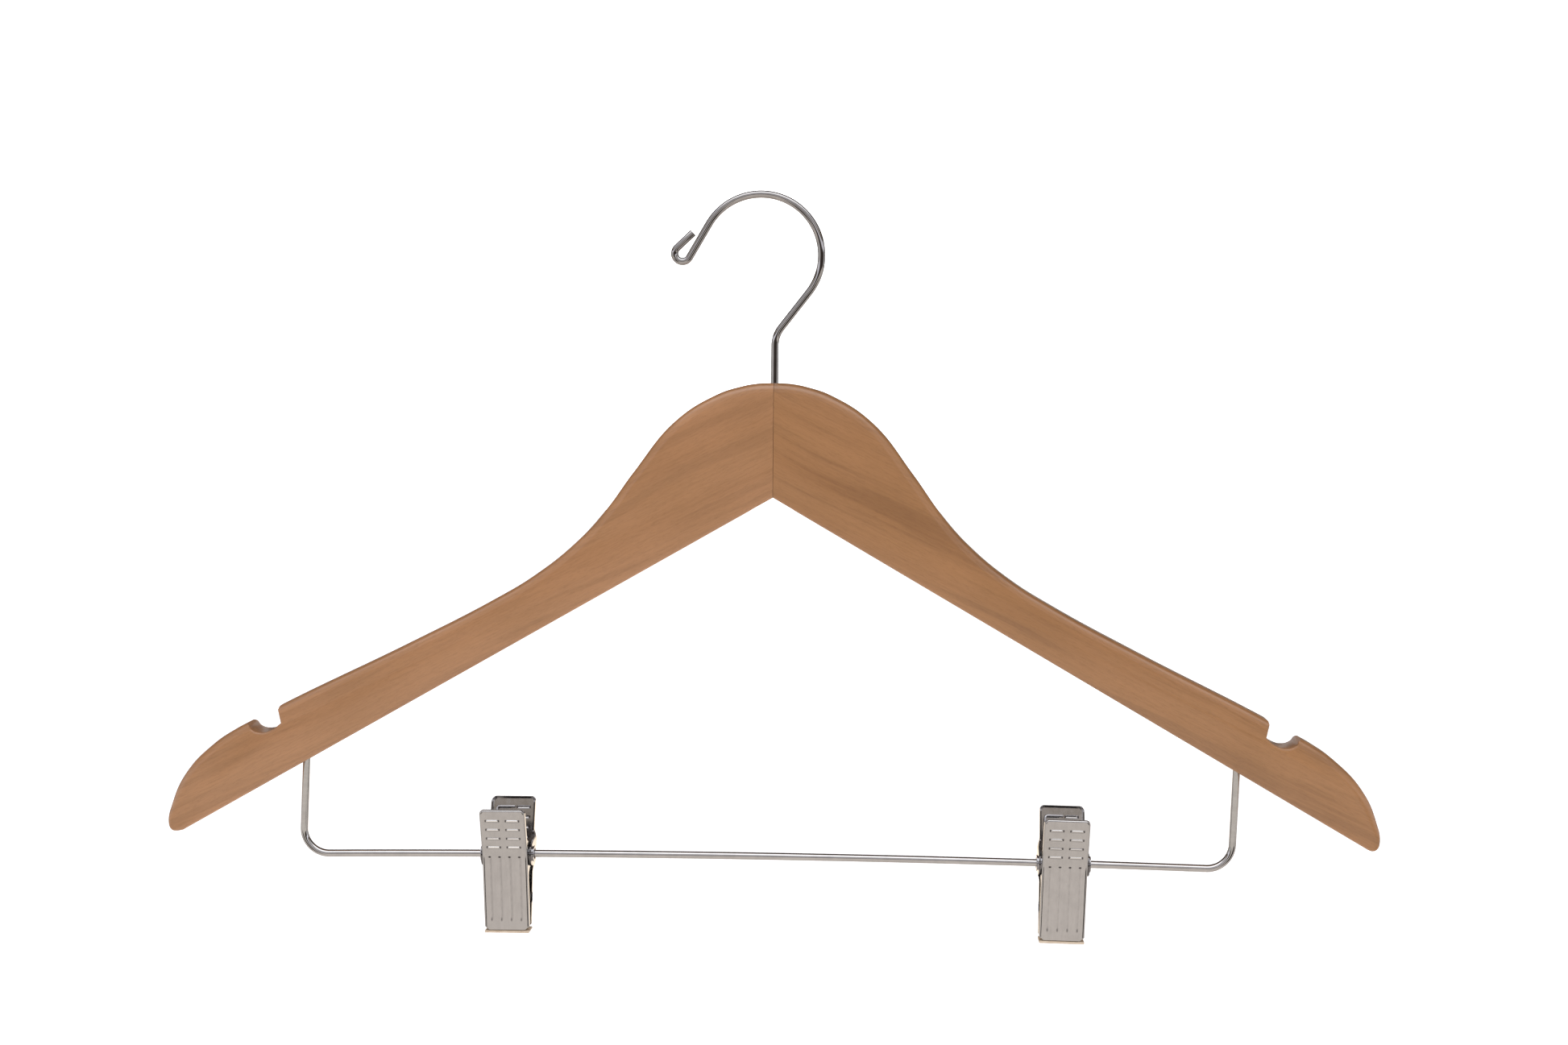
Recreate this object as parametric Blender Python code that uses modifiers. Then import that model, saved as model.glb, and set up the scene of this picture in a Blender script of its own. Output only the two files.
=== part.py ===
"""Wooden clothes hanger with a swivel hook, a wire trouser bar and two sliding spring clips.

Metres, +Z up. The front faces -Y and the arms spread along X. The origin is the point inside the hook
that rests on a rail, straight above the hook's stem.
"""

import math

import bmesh
import bpy
from mathutils import Matrix, Vector

MM = 0.001
FIT = 0.3 * MM  # gap between two pieces that touch

# Hook: heights are above the top of the wooden head, sideways distances are from the stem.
HOOK_WIRE_R = 1.35 * MM
HOOK_ARC_R = 21.6 * MM
HOOK_ARC_OFFSET = 5.25 * MM
HOOK_ARC_RISE = 45.37 * MM
HOOK_NECK_HEADING = 52.3
HOOK_NECK_BEND_R = 10.4 * MM
HOOK_TIP_HEADING = 240.0
HOOK_TIP_RUN = 13.7 * MM
HOOK_LOOP_R = 2.82 * MM
HOOK_LOOP_TURN = 196.5
HOOK_LOOP_END = 7.85 * MM
HOOK_BUTTON = 1.7  # radius of the upset end, in wire radii
HOOK_BUTTON_T = 1.6 * MM

# The origin is on the inside of the arc, so the head's top lies this far below it.
HEAD_TOP = -(HOOK_ARC_RISE + math.sqrt((HOOK_ARC_R - HOOK_WIRE_R) ** 2 - HOOK_ARC_OFFSET**2))

# Arms: outline in millimetres out from the seam and up from the head's top.
ARM_T = 12.0 * MM
SEAM_GAP = FIT
TOP_ROUND = 3.2 * MM
LOWER_ROUND = 0.37  # share of TOP_ROUND along the lower edge
ROUND_STEPS = 3
FOOT_FADE = (3.0, 14.0)  # at the tip, the one fades into the other between these heights above the lower edge
TIP_STRETCH = {"left": 1.5, "right": 0.3}  # how much further out each tip is than TIP says
CROTCH_DEPTH = 40.8
LOWER_EDGE_SLOPE = math.tan(math.radians(30.0))
SHOULDER = (
    (6, -0.3),
    (12, -1.45),
    (20, -4.15),
    (35, -13.8),
    (50, -32.4),
    (60, -46.3),
    (70, -57.4),
    (85, -69.6),
    (100, -78.8),
    (130, -94.7),
    (176.7, -118.1),
)
TIP = (
    (188, -124.3),
    (192, -126.5),
    (200, -132.0),
    (210, -142.6),
    (215.2, -154.0),
    (216.1, -161.0),
    (214.9, -163.4),
    (213.6, -163.8),
)
TIP_FOOT = 212.4

# Strap notch: a leaning wall, a round floor and an eased lip, open at the top.
NOTCH_WALL = ((174.9, -116.6), (176.3, -118.1), (176.55, -119.2), (175.5, -124.0))
NOTCH_FLOOR = ((178.6, -126.4), (182.4, -127.5), (185.7, -126.6))
NOTCH_LIP = ((187.3, -124.8), (188.3, -124.3), (190.6, -124.2))
NOTCH_MOUTH = ((190.6, -112.0), (174.9, -108.0))
NOTCH_ROUND = 0.9 * MM
NOTCH_STEPS = 2
NOTCH_CLEAR = 0.3 * MM

# Joinery hidden in the head.
SLEEVE_R = 3.0 * MM
SLEEVE_BORE_R = HOOK_WIRE_R + FIT
SLEEVE_L = 14.0 * MM
SLEEVE_SINK = 0.6 * MM
HOOK_BORE_DEPTH = 19.0 * MM
DOWEL_R = 3.0 * MM
DOWEL_HALF_L = 15.0 * MM
DOWEL_CHAMFER = 0.5 * MM
DOWEL_DEPTHS = {"upper_dowel": 24.0 * MM, "lower_dowel": 33.0 * MM}

# Trouser bar: one wire whose legs stand in blind holes in the arms and lean a little to the left.
BAR_WIRE_R = 1.3 * MM
BAR_DEPTH = 172.2 * MM
BAR_BOW = 1.66 * MM  # how much higher the bar's middle is than its ends
BAR_CORNER_R = 9.0 * MM
BAR_SHIFT = -0.6 * MM  # the bar's middle isn't quite under the seam
LEG_OUT = 167.5 * MM
LEG_OUT_DEPTH = 120.0 * MM  # depth at which the legs stand at LEG_OUT from the bar's middle
LEG_TOP_DEPTH = 126.8 * MM
LEG_LEAN = 2.0
BAR_Z = HEAD_TOP - BAR_DEPTH

# Clips: place along the bar, and lean of the top towards +X in degrees.
CLIPS = {"left": (-95.1 * MM, -0.4), "right": (105.2 * MM, 0.9)}
JAW_TOP = 18.4 * MM
JAW_BOTTOM = -27.2 * MM
SHEET_T = 0.6 * MM
JAW_HALF_W = 8.1 * MM
EAR_R = 4.7 * MM
EAR_JOG = 0.9 * MM  # how far the rear jaw's ears stand outside the front jaw's
SHEET_AT_FOOT = 3.0 * MM
SHEET_AT_BAR = 7.0 * MM
SHEET_AT_HEAD = 12.9 * MM
FLANGE = 2.4 * MM
CORNER_R = 1.5 * MM
FOLD_R = 0.9 * MM
PAD_T_GAP = 0.15 * MM
PAD_TOP = -18.0 * MM
PAD_LIP = 0.9 * MM
TUBE_BORE_R = 1.9 * MM
TUBE_R = 2.45 * MM
TUBE_RIM_R = 2.9 * MM
TUBE_RIM_T = 0.4 * MM
TUBE_HALF_L = JAW_HALF_W + EAR_JOG + FIT + TUBE_RIM_T
SPRING_WIRE_R = 0.45 * MM
SPRING_R = 3.2 * MM
SPRING_HALF_L = 6.1 * MM
SPRING_TURNS = 8
SPRING_LEG = (10.5 * MM, 14.9 * MM)  # out from the bar and up, at the leg's bent end
SPRING_END = 6.7 * MM

ARC_STEP_TURN = 11.0  # longest steps of a traced arc, in degrees and in length
ARC_STEP_LENGTH = 25.0 * MM

SIDES = {"left": -1, "right": 1}


def clear_scene():
    for obj in list(bpy.data.objects):
        bpy.data.objects.remove(obj)


def new_collection(name, shown):
    collection = bpy.data.collections.new(name)
    collection.hide_render = not shown
    bpy.context.scene.collection.children.link(collection)
    return collection


def new_material(name, colour, roughness, metallic):
    material = bpy.data.materials.new(name)
    material.use_nodes = True
    shader = material.node_tree.nodes["Principled BSDF"]
    shader.inputs["Base Color"].default_value = (*colour, 1.0)
    shader.inputs["Roughness"].default_value = roughness
    shader.inputs["Metallic"].default_value = metallic
    return material


clear_scene()
PARTS = new_collection("clothes_hanger", True)
CUTTERS = new_collection("cutters", False)
WOOD = new_material("wood", (0.40, 0.21, 0.105), 0.45, 0.0)
DOWEL_WOOD = new_material("dowel_wood", (0.52, 0.33, 0.18), 0.7, 0.0)
CHROME = new_material("chrome", (0.72, 0.72, 0.74), 0.12, 1.0)
CLIP_STEEL = new_material("clip_steel", (0.50, 0.45, 0.42), 0.3, 1.0)
SPRING_STEEL = new_material("spring_steel", (0.62, 0.62, 0.64), 0.2, 1.0)
BRASS = new_material("brass", (0.70, 0.52, 0.25), 0.3, 1.0)
PAD_RUBBER = new_material("pad_rubber", (0.66, 0.52, 0.38), 0.6, 0.0)


def place(name, data, material, parent=None):
    obj = bpy.data.objects.new(name, data)
    PARTS.objects.link(obj)
    data.materials.append(material)
    obj.parent = parent
    return obj


def mesh_from(bm, name):
    """The finished mesh of a bmesh, with its faces turned outwards."""
    bmesh.ops.recalc_face_normals(bm, faces=bm.faces)
    mesh = bpy.data.meshes.new(name)
    bm.to_mesh(mesh)
    bm.free()
    return mesh


def place_cutter(name, mesh, parent=None):
    obj = bpy.data.objects.new(name, mesh)
    CUTTERS.objects.link(obj)
    obj.hide_render = True
    obj.display_type = "WIRE"
    obj.parent = parent
    return obj


def rod_mesh(name, start, end, radius, sides=24):
    """A closed round bar between two points."""
    start, end = Vector(start), Vector(end)
    along = end - start
    turn = Vector((0, 0, 1)).rotation_difference(along).to_matrix().to_4x4()
    bm = bmesh.new()
    bmesh.ops.create_cone(
        bm,
        cap_ends=True,
        segments=sides,
        radius1=radius,
        radius2=radius,
        depth=along.length,
        matrix=Matrix.Translation((start + end) / 2) @ turn,
    )
    return mesh_from(bm, name)


def cut(obj, cutter):
    modifier = obj.modifiers.new(cutter.name, "BOOLEAN")
    modifier.operation = "DIFFERENCE"
    modifier.solver = "EXACT"
    modifier.object = cutter


def trace(start, heading, moves):
    """A wire's centreline in the XZ plane. A move is ("line", length) or ("arc", radius, turn to the left)."""
    x, z = start
    points = [(x, z)]
    for move in moves:
        if move[0] == "line":
            x += move[1] * math.cos(math.radians(heading))
            z += move[1] * math.sin(math.radians(heading))
            points.append((x, z))
            continue
        _, radius, turn = move
        side = math.copysign(90.0, turn)
        centre_x = x + radius * math.cos(math.radians(heading + side))
        centre_z = z + radius * math.sin(math.radians(heading + side))
        length = radius * abs(math.radians(turn))
        steps = max(4, round(abs(turn) / ARC_STEP_TURN), round(length / ARC_STEP_LENGTH))
        for step in range(1, steps + 1):
            angle = math.radians(heading - side + turn * step / steps)
            x = centre_x + radius * math.cos(angle)
            z = centre_z + radius * math.sin(angle)
            points.append((x, z))
        heading += turn
    return points


def place_wire(name, points, radius, material, parent=None, thickness=None):
    """A round wire along 3D points. thickness holds one factor of the radius for each point."""
    curve = bpy.data.curves.new(name, "CURVE")
    curve.dimensions = "3D"
    curve.bevel_depth = radius
    curve.bevel_resolution = 2
    curve.use_fill_caps = True
    spline = curve.splines.new("POLY")
    spline.points.add(len(points) - 1)
    for index, point in enumerate(points):
        spline.points[index].co = (*point, 1.0)
        spline.points[index].radius = thickness[index] if thickness else 1.0
    return place(name, curve, material, parent)


def place_turned(name, profile, material, parent=None, steps=24):
    """A ring turned about the object's Z axis. Its profile, (radius, height), runs up the outside."""
    bm = bmesh.new()
    verts = [bm.verts.new((radius, 0, height)) for radius, height in reversed(profile)]
    for first, second in zip(verts, verts[1:] + verts[:1]):
        bm.edges.new((first, second))
    mesh = bpy.data.meshes.new(name)
    bm.to_mesh(mesh)
    bm.free()
    obj = place(name, mesh, material, parent)
    screw = obj.modifiers.new("turn", "SCREW")
    screw.steps = screw.render_steps = steps
    screw.use_merge_vertices = True
    screw.merge_threshold = 1e-5
    return obj


def loft_mesh(name, sections):
    """A closed solid through sections that all have the same number of points."""
    bm = bmesh.new()
    rings = [[bm.verts.new(point) for point in section] for section in sections]
    for low, high in zip(rings, rings[1:]):
        for i in range(len(low)):
            j = (i + 1) % len(low)
            bm.faces.new((low[i], low[j], high[j], high[i]))
    bm.faces.new(rings[0])
    bm.faces.new(rings[-1])
    bmesh.ops.remove_doubles(bm, verts=bm.verts, dist=1e-6)
    return mesh_from(bm, name)


def place_loft(name, sections, material, parent):
    return place(name, loft_mesh(name, sections), material, parent)


# ---------------------------------------------------------------- hook


def make_hook():
    """The wire from its upset end in the head up the stem, round the rail arc and through the small end loop."""
    neck_x = HOOK_ARC_R * math.sin(math.radians(HOOK_NECK_HEADING)) - HOOK_ARC_OFFSET
    neck_z = HOOK_ARC_RISE - HOOK_ARC_R * math.cos(math.radians(HOOK_NECK_HEADING))
    slope = math.radians(HOOK_NECK_HEADING)
    corner = neck_z - neck_x * math.tan(slope)
    bend = 90.0 - HOOK_NECK_HEADING
    tangent = HOOK_NECK_BEND_R * math.tan(math.radians(bend) / 2)
    foot = -(SLEEVE_SINK + SLEEVE_L + FIT)
    moves = [
        ("line", HOOK_BUTTON_T),
        ("line", FIT / 2),
        ("line", corner - tangent - foot - FIT / 2),
        ("arc", HOOK_NECK_BEND_R, -bend),
        ("line", neck_x / math.cos(slope) - tangent),
        ("arc", HOOK_ARC_R, HOOK_TIP_HEADING - HOOK_NECK_HEADING),
        ("line", HOOK_TIP_RUN),
        ("arc", HOOK_LOOP_R, -HOOK_LOOP_TURN),
        ("line", HOOK_LOOP_END),
    ]
    flat = trace((0.0, foot - HOOK_BUTTON_T), 90.0, moves)
    points = [(x, 0.0, HEAD_TOP + z) for x, z in flat]
    thickness = [HOOK_BUTTON, HOOK_BUTTON] + [1.0] * (len(points) - 2)
    return place_wire("hook", points, HOOK_WIRE_R, CHROME, thickness=thickness)


def make_swivel_sleeve():
    profile = (
        (SLEEVE_BORE_R, -SLEEVE_L),
        (SLEEVE_R, -SLEEVE_L),
        (SLEEVE_R, 0.0),
        (SLEEVE_BORE_R, 0.0),
    )
    sleeve = place_turned("swivel_sleeve", profile, BRASS)
    sleeve.location.z = HEAD_TOP - SLEEVE_SINK
    return sleeve


# ---------------------------------------------------------------- wooden arms


def lower_edge(x):
    return -(CROTCH_DEPTH + x * LOWER_EDGE_SLOPE)


def stretched(points, side_name):
    """Points of the drawn outline on one of the two arms, in metres, with its tip drawn out sideways."""
    side, longer = SIDES[side_name], TIP_STRETCH[side_name]
    return [(side * (x + longer * (x / TIP_FOOT) ** 2) * MM, z * MM) for x, z in points]


def smooth_outline(knots, steps):
    """Points in order round a closed curve through knots (x, z, kind of handle), in metres."""
    curve = bpy.data.curves.new("outline", "CURVE")
    curve.resolution_u = steps
    spline = curve.splines.new("BEZIER")
    spline.bezier_points.add(len(knots) - 1)
    spline.use_cyclic_u = True
    for point, (x, z, handle) in zip(spline.bezier_points, knots):
        point.co = (x, z, 0.0)
        point.handle_left_type = point.handle_right_type = handle
    outline = bpy.data.objects.new("outline", curve)
    bpy.context.scene.collection.objects.link(outline)
    bpy.context.view_layer.update()
    evaluated = outline.evaluated_get(bpy.context.evaluated_depsgraph_get())
    points = [vert.co.xy for vert in bpy.data.meshes.new_from_object(evaluated).vertices]
    bpy.data.objects.remove(outline)
    return [point for point, after in zip(points, points[1:] + points[:1]) if (after - point).length > 1e-6]


def arm_outline(side_name):
    """Points round one arm in order, before its notch is cut, from the seam and the head's top."""
    side = SIDES[side_name]
    seam = SEAM_GAP / MM / 2
    knots = [(side * seam * MM, 0.0, "VECTOR")]
    knots += [(*point, "AUTO") for point in stretched(SHOULDER + TIP, side_name)]
    knots += [(side * x * MM, lower_edge(x) * MM, "VECTOR") for x in (TIP_FOOT, seam)]
    return smooth_outline(knots, 6)


def fade(value, start, end):
    """0 before start, 1 after end, and an even curve between them."""
    share = max(0.0, min(1.0, (value - start) / (end - start)))
    return share * share * (3 - 2 * share)


def rim_radius(point):
    """How round the arm's front and back rims are at this point: less along the lower edge."""
    above_foot = fade(point.y / MM - lower_edge(abs(point.x) / MM), *FOOT_FADE)
    return TOP_ROUND * (LOWER_ROUND + (1.0 - LOWER_ROUND) * above_foot)


def inward(before, point, after, side):
    """The move that takes an outline point inwards by one unit from both its edges, or along the flat seam."""
    first, second = (point - before).normalized(), (after - point).normalized()
    normals = [side * Vector((edge.y, -edge.x)) for edge in (first, second)]
    on_seam = [abs(point.x - other.x) < 1e-6 and abs(point.x) < SEAM_GAP for other in (before, after)]
    if any(on_seam):
        along = second if on_seam[1] else -first
        return along / along.dot(normals[on_seam.index(False)])
    return (normals[0] + normals[1]) / (1 + normals[0].dot(normals[1]))


def make_arm(name):
    """A flat arm whose front and back rims are quarter rounds of a radius that changes along the outline."""
    side_name = name.split("_")[0]
    side = SIDES[side_name]
    outline = arm_outline(side_name)
    moves = []
    for index, point in enumerate(outline):
        after = outline[(index + 1) % len(outline)]
        moves.append(inward(outline[index - 1], point, after, side))
    sections = []
    for face in (-1, 1):
        rims = []
        for step in range(ROUND_STEPS + 1):
            angle = math.radians(90.0 * step / ROUND_STEPS)
            rim = []
            for point, move in zip(outline, moves):
                radius = rim_radius(point)
                x, z = point + move * radius * (1 - math.sin(angle))
                rim.append((x, face * (ARM_T / 2 - radius * (1 - math.cos(angle))), HEAD_TOP + z))
            rims.append(rim)
        sections += rims if face < 0 else reversed(rims)
    arm = place_loft(name, sections, WOOD, None)
    cut(arm, place_cutter(side_name + "_notch", notch_mesh(side_name)))
    return arm


def notch_mesh(side_name):
    """The strap notch's cutter, which widens in a quarter round at the arm's front and back faces."""
    side = SIDES[side_name]
    knots = [(*point, "VECTOR") for point in stretched(NOTCH_WALL, side_name)]
    knots += [(*point, "AUTO") for point in stretched(NOTCH_FLOOR + NOTCH_LIP, side_name)]
    knots += [(*point, "VECTOR") for point in stretched(NOTCH_MOUTH, side_name)]
    outline = smooth_outline(knots, 5)
    top = NOTCH_MOUTH[0][1] * MM
    rims = []
    for step in range(1, NOTCH_STEPS + 1):
        angle = math.radians(90.0 * step / NOTCH_STEPS)
        rims.append((ARM_T / 2 - NOTCH_ROUND * (1 - math.cos(angle)), NOTCH_ROUND * (1 - math.sin(angle))))
    flare = (NOTCH_ROUND - rims[0][1]) / (ARM_T / 2 - rims[0][0])
    rims.insert(0, (ARM_T / 2 + NOTCH_CLEAR, NOTCH_ROUND + flare * NOTCH_CLEAR))
    sections = []
    for y, widening in [(-y, widening) for y, widening in rims] + rims[::-1]:
        section = []
        for index, point in enumerate(outline):
            move = inward(outline[index - 1], point, outline[(index + 1) % len(outline)], side)
            x, z = point + move * widening if point.y < top else point
            section.append((x, y, HEAD_TOP + z))
        sections.append(section)
    return loft_mesh(side_name + "_notch", sections)


def make_body():
    """Both arms, bored for the hook, the dowels and the bar's legs, and the dowels themselves."""
    arms = [make_arm("left_arm"), make_arm("right_arm")]
    bore = ((0, 0, HEAD_TOP + FIT * 10), (0, 0, HEAD_TOP - HOOK_BORE_DEPTH))
    bores = [place_cutter("hook_bore", rod_mesh("hook_bore", *bore, SLEEVE_R + FIT))]
    for name, depth in DOWEL_DEPTHS.items():
        z = HEAD_TOP - depth
        reach = DOWEL_HALF_L + FIT
        hole = rod_mesh(name + "_hole", (-reach, 0, z), (reach, 0, z), DOWEL_R + FIT)
        bores.append(place_cutter(name + "_hole", hole))
        dowel_mesh = rod_mesh(name, (-DOWEL_HALF_L, 0, 0), (DOWEL_HALF_L, 0, 0), DOWEL_R)
        dowel = place(name, dowel_mesh, DOWEL_WOOD)
        dowel.location.z = z
        chamfer = dowel.modifiers.new("chamfer", "BEVEL")
        chamfer.width = DOWEL_CHAMFER
        chamfer.segments = 1
        chamfer.limit_method = "ANGLE"
        chamfer.angle_limit = math.radians(60)
    for arm, side in zip(arms, SIDES.values()):
        for cutter in bores:
            cut(arm, cutter)
        top = (leg_x(side, LEG_TOP_DEPTH - FIT), 0, HEAD_TOP - LEG_TOP_DEPTH + FIT)
        foot = (leg_x(side, BAR_DEPTH), 0, BAR_Z)
        name = arm.name + "_leg_hole"
        cut(arm, place_cutter(name, rod_mesh(name, top, foot, BAR_WIRE_R + FIT)))


# ---------------------------------------------------------------- trouser bar


def leg_x(side, depth):
    """Where a leg's axis is at a depth below the head's top. Side 0 is midway between them."""
    return BAR_SHIFT + side * LEG_OUT - (depth - LEG_OUT_DEPTH) * math.tan(math.radians(LEG_LEAN))


def arc_move(radius, heading, turn):
    """How far a traced arc goes sideways and up."""
    start, end = math.radians(heading), math.radians(heading + turn)
    return radius * (math.sin(end) - math.sin(start)), radius * (math.cos(start) - math.cos(end))


def bar_height(x):
    """Height of the bowed bar's axis."""
    middle = leg_x(0, BAR_DEPTH)
    return BAR_Z + BAR_BOW * (1 - ((x - middle) / (LEG_OUT - BAR_CORNER_R)) ** 2)


def make_clip_bar():
    rise = math.degrees(2 * math.atan(BAR_BOW / (LEG_OUT - BAR_CORNER_R)))
    turns = (90.0 + LEG_LEAN + rise, 90.0 - LEG_LEAN + rise)
    first_x, first_z = arc_move(BAR_CORNER_R, 270.0 - LEG_LEAN, turns[0])
    last_x, last_z = arc_move(BAR_CORNER_R, 360.0 - rise, turns[1])
    feet = (BAR_DEPTH + first_z, BAR_DEPTH - last_z)
    legs = [(foot - LEG_TOP_DEPTH) / math.cos(math.radians(LEG_LEAN)) for foot in feet]
    chord = leg_x(1, feet[1]) - last_x - leg_x(-1, feet[0]) - first_x
    moves = [
        ("line", legs[0]),
        ("arc", BAR_CORNER_R, turns[0]),
        ("arc", chord / 2 / math.sin(math.radians(rise)), -2 * rise),
        ("arc", BAR_CORNER_R, turns[1]),
        ("line", legs[1]),
    ]
    start = (leg_x(-1, LEG_TOP_DEPTH), HEAD_TOP - LEG_TOP_DEPTH)
    points = [(x, 0.0, z) for x, z in trace(start, 270.0 - LEG_LEAN, moves)]
    return place_wire("clip_bar", points, BAR_WIRE_R, CHROME)


# ---------------------------------------------------------------- spring clips


def sheet_out(z):
    """How far a jaw's outer face is from the bar's plane at a height above the bar."""
    if z < 0:
        return SHEET_AT_BAR + (SHEET_AT_FOOT - SHEET_AT_BAR) * z / JAW_BOTTOM
    return SHEET_AT_BAR + (SHEET_AT_HEAD - SHEET_AT_BAR) * z / JAW_TOP


def jaw_half_width(z, jog):
    """Half width at a height: rounded at the top, chamfered at the foot, and jogged out at the ears."""
    above = z - (JAW_TOP - CORNER_R)
    if above > 0:
        return JAW_HALF_W - CORNER_R + math.sqrt(max(0.0, CORNER_R**2 - above**2))
    ear = max(0.0, min(1.0, 1.0 - (abs(z) - EAR_R - 0.5 * MM) / (2.3 * MM)))
    chamfer = max(0.0, JAW_BOTTOM + 1.0 * MM - z)
    return JAW_HALF_W + ear * jog - chamfer


def jaw_section(z, edge, jog, side, closed_lip=False):
    """The folded sheet's outline at one height. edge is how far its flanges' edges are from the bar's plane."""
    out = sheet_out(z)
    half = jaw_half_width(z, jog)
    quarter = [math.radians(angle) for angle in (0, 45, 90)]
    outer = [(half - FOLD_R + FOLD_R * math.cos(a), out - FOLD_R + FOLD_R * math.sin(a)) for a in quarter]
    inner_r = FOLD_R - SHEET_T
    inner = [(half - FOLD_R + inner_r * math.cos(a), out - FOLD_R + inner_r * math.sin(a)) for a in quarter]
    if closed_lip:
        inner = [(x, edge) for x, _ in inner]
    right = [(half, edge)] + outer
    left = [(-x, y) for x, y in reversed(right)]
    inside_left = [(-half + SHEET_T, edge)] + [(-x, y) for x, y in inner]
    inside_right = [(-x, y) for x, y in reversed(inside_left)]
    return [(x, side * y, z) for x, y in right + left + inside_left + inside_right]


def make_jaw(name, clip, side, jog):
    """One pressed jaw: a tray-like handle above the bar, an ear on each flange at the bar, a grip below it."""
    stations = [
        (JAW_BOTTOM, 1.6 * MM),
        (JAW_BOTTOM + 1.0 * MM, FLANGE),
        (-EAR_R - 3.0 * MM, FLANGE),
        (-EAR_R - 1.2 * MM, FLANGE),
    ]
    sections = [jaw_section(z, sheet_out(z) - depth, jog, side) for z, depth in stations]
    for step in range(-4, 5):
        angle = math.radians(22.5 * step)
        sections.append(jaw_section(EAR_R * math.sin(angle), -EAR_R * math.cos(angle), jog, side))
    for z in (EAR_R + 1.2 * MM, EAR_R + 3.0 * MM, JAW_TOP - CORNER_R, JAW_TOP - SHEET_T):
        sections.append(jaw_section(z, sheet_out(z) - FLANGE, jog, side))
    for z in (JAW_TOP - SHEET_T, JAW_TOP - SHEET_T / 2, JAW_TOP):
        sections.append(jaw_section(z, sheet_out(z) - FLANGE, jog, side, closed_lip=True))
    jaw = place_loft(name, sections, CLIP_STEEL, clip)
    reach = JAW_HALF_W + EAR_JOG + 1 * MM
    hole = rod_mesh(name + "_hole", (-reach, 0, 0), (reach, 0, 0), TUBE_R + FIT / 2)
    cut(jaw, place_cutter(name + "_hole", hole, clip))
    return jaw


def make_pad(name, clip, side):
    """A moulded strip inside a jaw's foot, with a lip as wide as the jaw below its edge."""
    flange_gap = SHEET_T + FIT
    lip_top = JAW_BOTTOM - FIT
    sections = []
    for z, half, outer in (
        (lip_top - PAD_LIP, JAW_HALF_W - 0.4 * MM, SHEET_AT_FOOT - 0.2 * MM),
        (lip_top - PAD_LIP * 0.7, JAW_HALF_W, SHEET_AT_FOOT),
        (lip_top, JAW_HALF_W, SHEET_AT_FOOT),
        (lip_top, JAW_HALF_W - flange_gap - 1 * MM, SHEET_AT_FOOT - flange_gap),
        (JAW_BOTTOM + 1 * MM, JAW_HALF_W - flange_gap, sheet_out(JAW_BOTTOM + 1 * MM) - flange_gap),
        (PAD_TOP, JAW_HALF_W - flange_gap, sheet_out(PAD_TOP) - flange_gap),
    ):
        corners = ((half, PAD_T_GAP), (half, outer), (-half, outer), (-half, PAD_T_GAP))
        sections.append([(x, side * y, z) for x, y in corners])
    return place_loft(name, sections, PAD_RUBBER, clip)


def make_pivot_tube(name, clip):
    length, shoulder = TUBE_HALF_L, TUBE_HALF_L - TUBE_RIM_T
    profile = (
        (TUBE_BORE_R, -length),
        (TUBE_RIM_R, -length),
        (TUBE_RIM_R, -shoulder),
        (TUBE_R, -shoulder),
        (TUBE_R, shoulder),
        (TUBE_RIM_R, shoulder),
        (TUBE_RIM_R, length),
        (TUBE_BORE_R, length),
    )
    tube = place_turned(name, profile, SPRING_STEEL, clip)
    tube.rotation_euler.y = math.radians(90)
    return tube


def make_spring(name, clip):
    """A torsion spring round the tube: bent end and leg on the rear handle, coil, leg and bent end on the front."""
    leg_y, leg_z = SPRING_LEG
    reach = math.hypot(leg_y, leg_z)
    touch = math.atan2(leg_z, leg_y) - math.acos(SPRING_R / reach)
    steps = SPRING_TURNS * 10
    sweep = -(2 * math.pi * SPRING_TURNS + math.pi + 2 * touch)
    coil = []
    for step in range(steps + 1):
        share = step / steps
        angle = touch + sweep * share
        x = SPRING_HALF_L * (2 * share - 1)
        coil.append((x, SPRING_R * math.cos(angle), SPRING_R * math.sin(angle)))
    bend = 2 * SPRING_WIRE_R
    back = (leg_y * (1 - bend / reach), leg_z * (1 - bend / reach))
    rear_end = [
        (-SPRING_HALF_L + SPRING_END, leg_y, leg_z),
        (-SPRING_HALF_L + bend, leg_y, leg_z),
        (-SPRING_HALF_L, *back),
    ]
    front_end = [(-x, -y, z) for x, y, z in reversed(rear_end)]
    return place_wire(name, rear_end + coil + front_end, SPRING_WIRE_R, SPRING_STEEL, clip)


def make_clip(side_name):
    x, lean = CLIPS[side_name]
    clip = bpy.data.objects.new(side_name + "_clip", None)
    PARTS.objects.link(clip)
    clip.location = (x, 0, bar_height(x))
    clip.rotation_euler.y = math.radians(lean)
    make_pivot_tube(side_name + "_pivot_tube", clip)
    make_spring(side_name + "_spring", clip)
    for place_name, side, jog in (("rear", 1, EAR_JOG), ("front", -1, 0.0)):
        make_jaw(f"{side_name}_{place_name}_jaw", clip, side, jog)
        make_pad(f"{side_name}_{place_name}_pad", clip, side)


make_hook()
make_swivel_sleeve()
make_body()
make_clip_bar()
for side_name in SIDES:
    make_clip(side_name)
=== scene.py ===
"""The looks of the wooden clothes hanger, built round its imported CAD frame.

Metres, +Z up, the front faces -Y, and the origin is the rail seat inside the hook.
"""

from math import acos, atan, atan2, copysign, cos, degrees, hypot, pi, radians, sin, sqrt, tan

import bmesh
import bpy
from mathutils import Matrix, Vector


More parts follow.
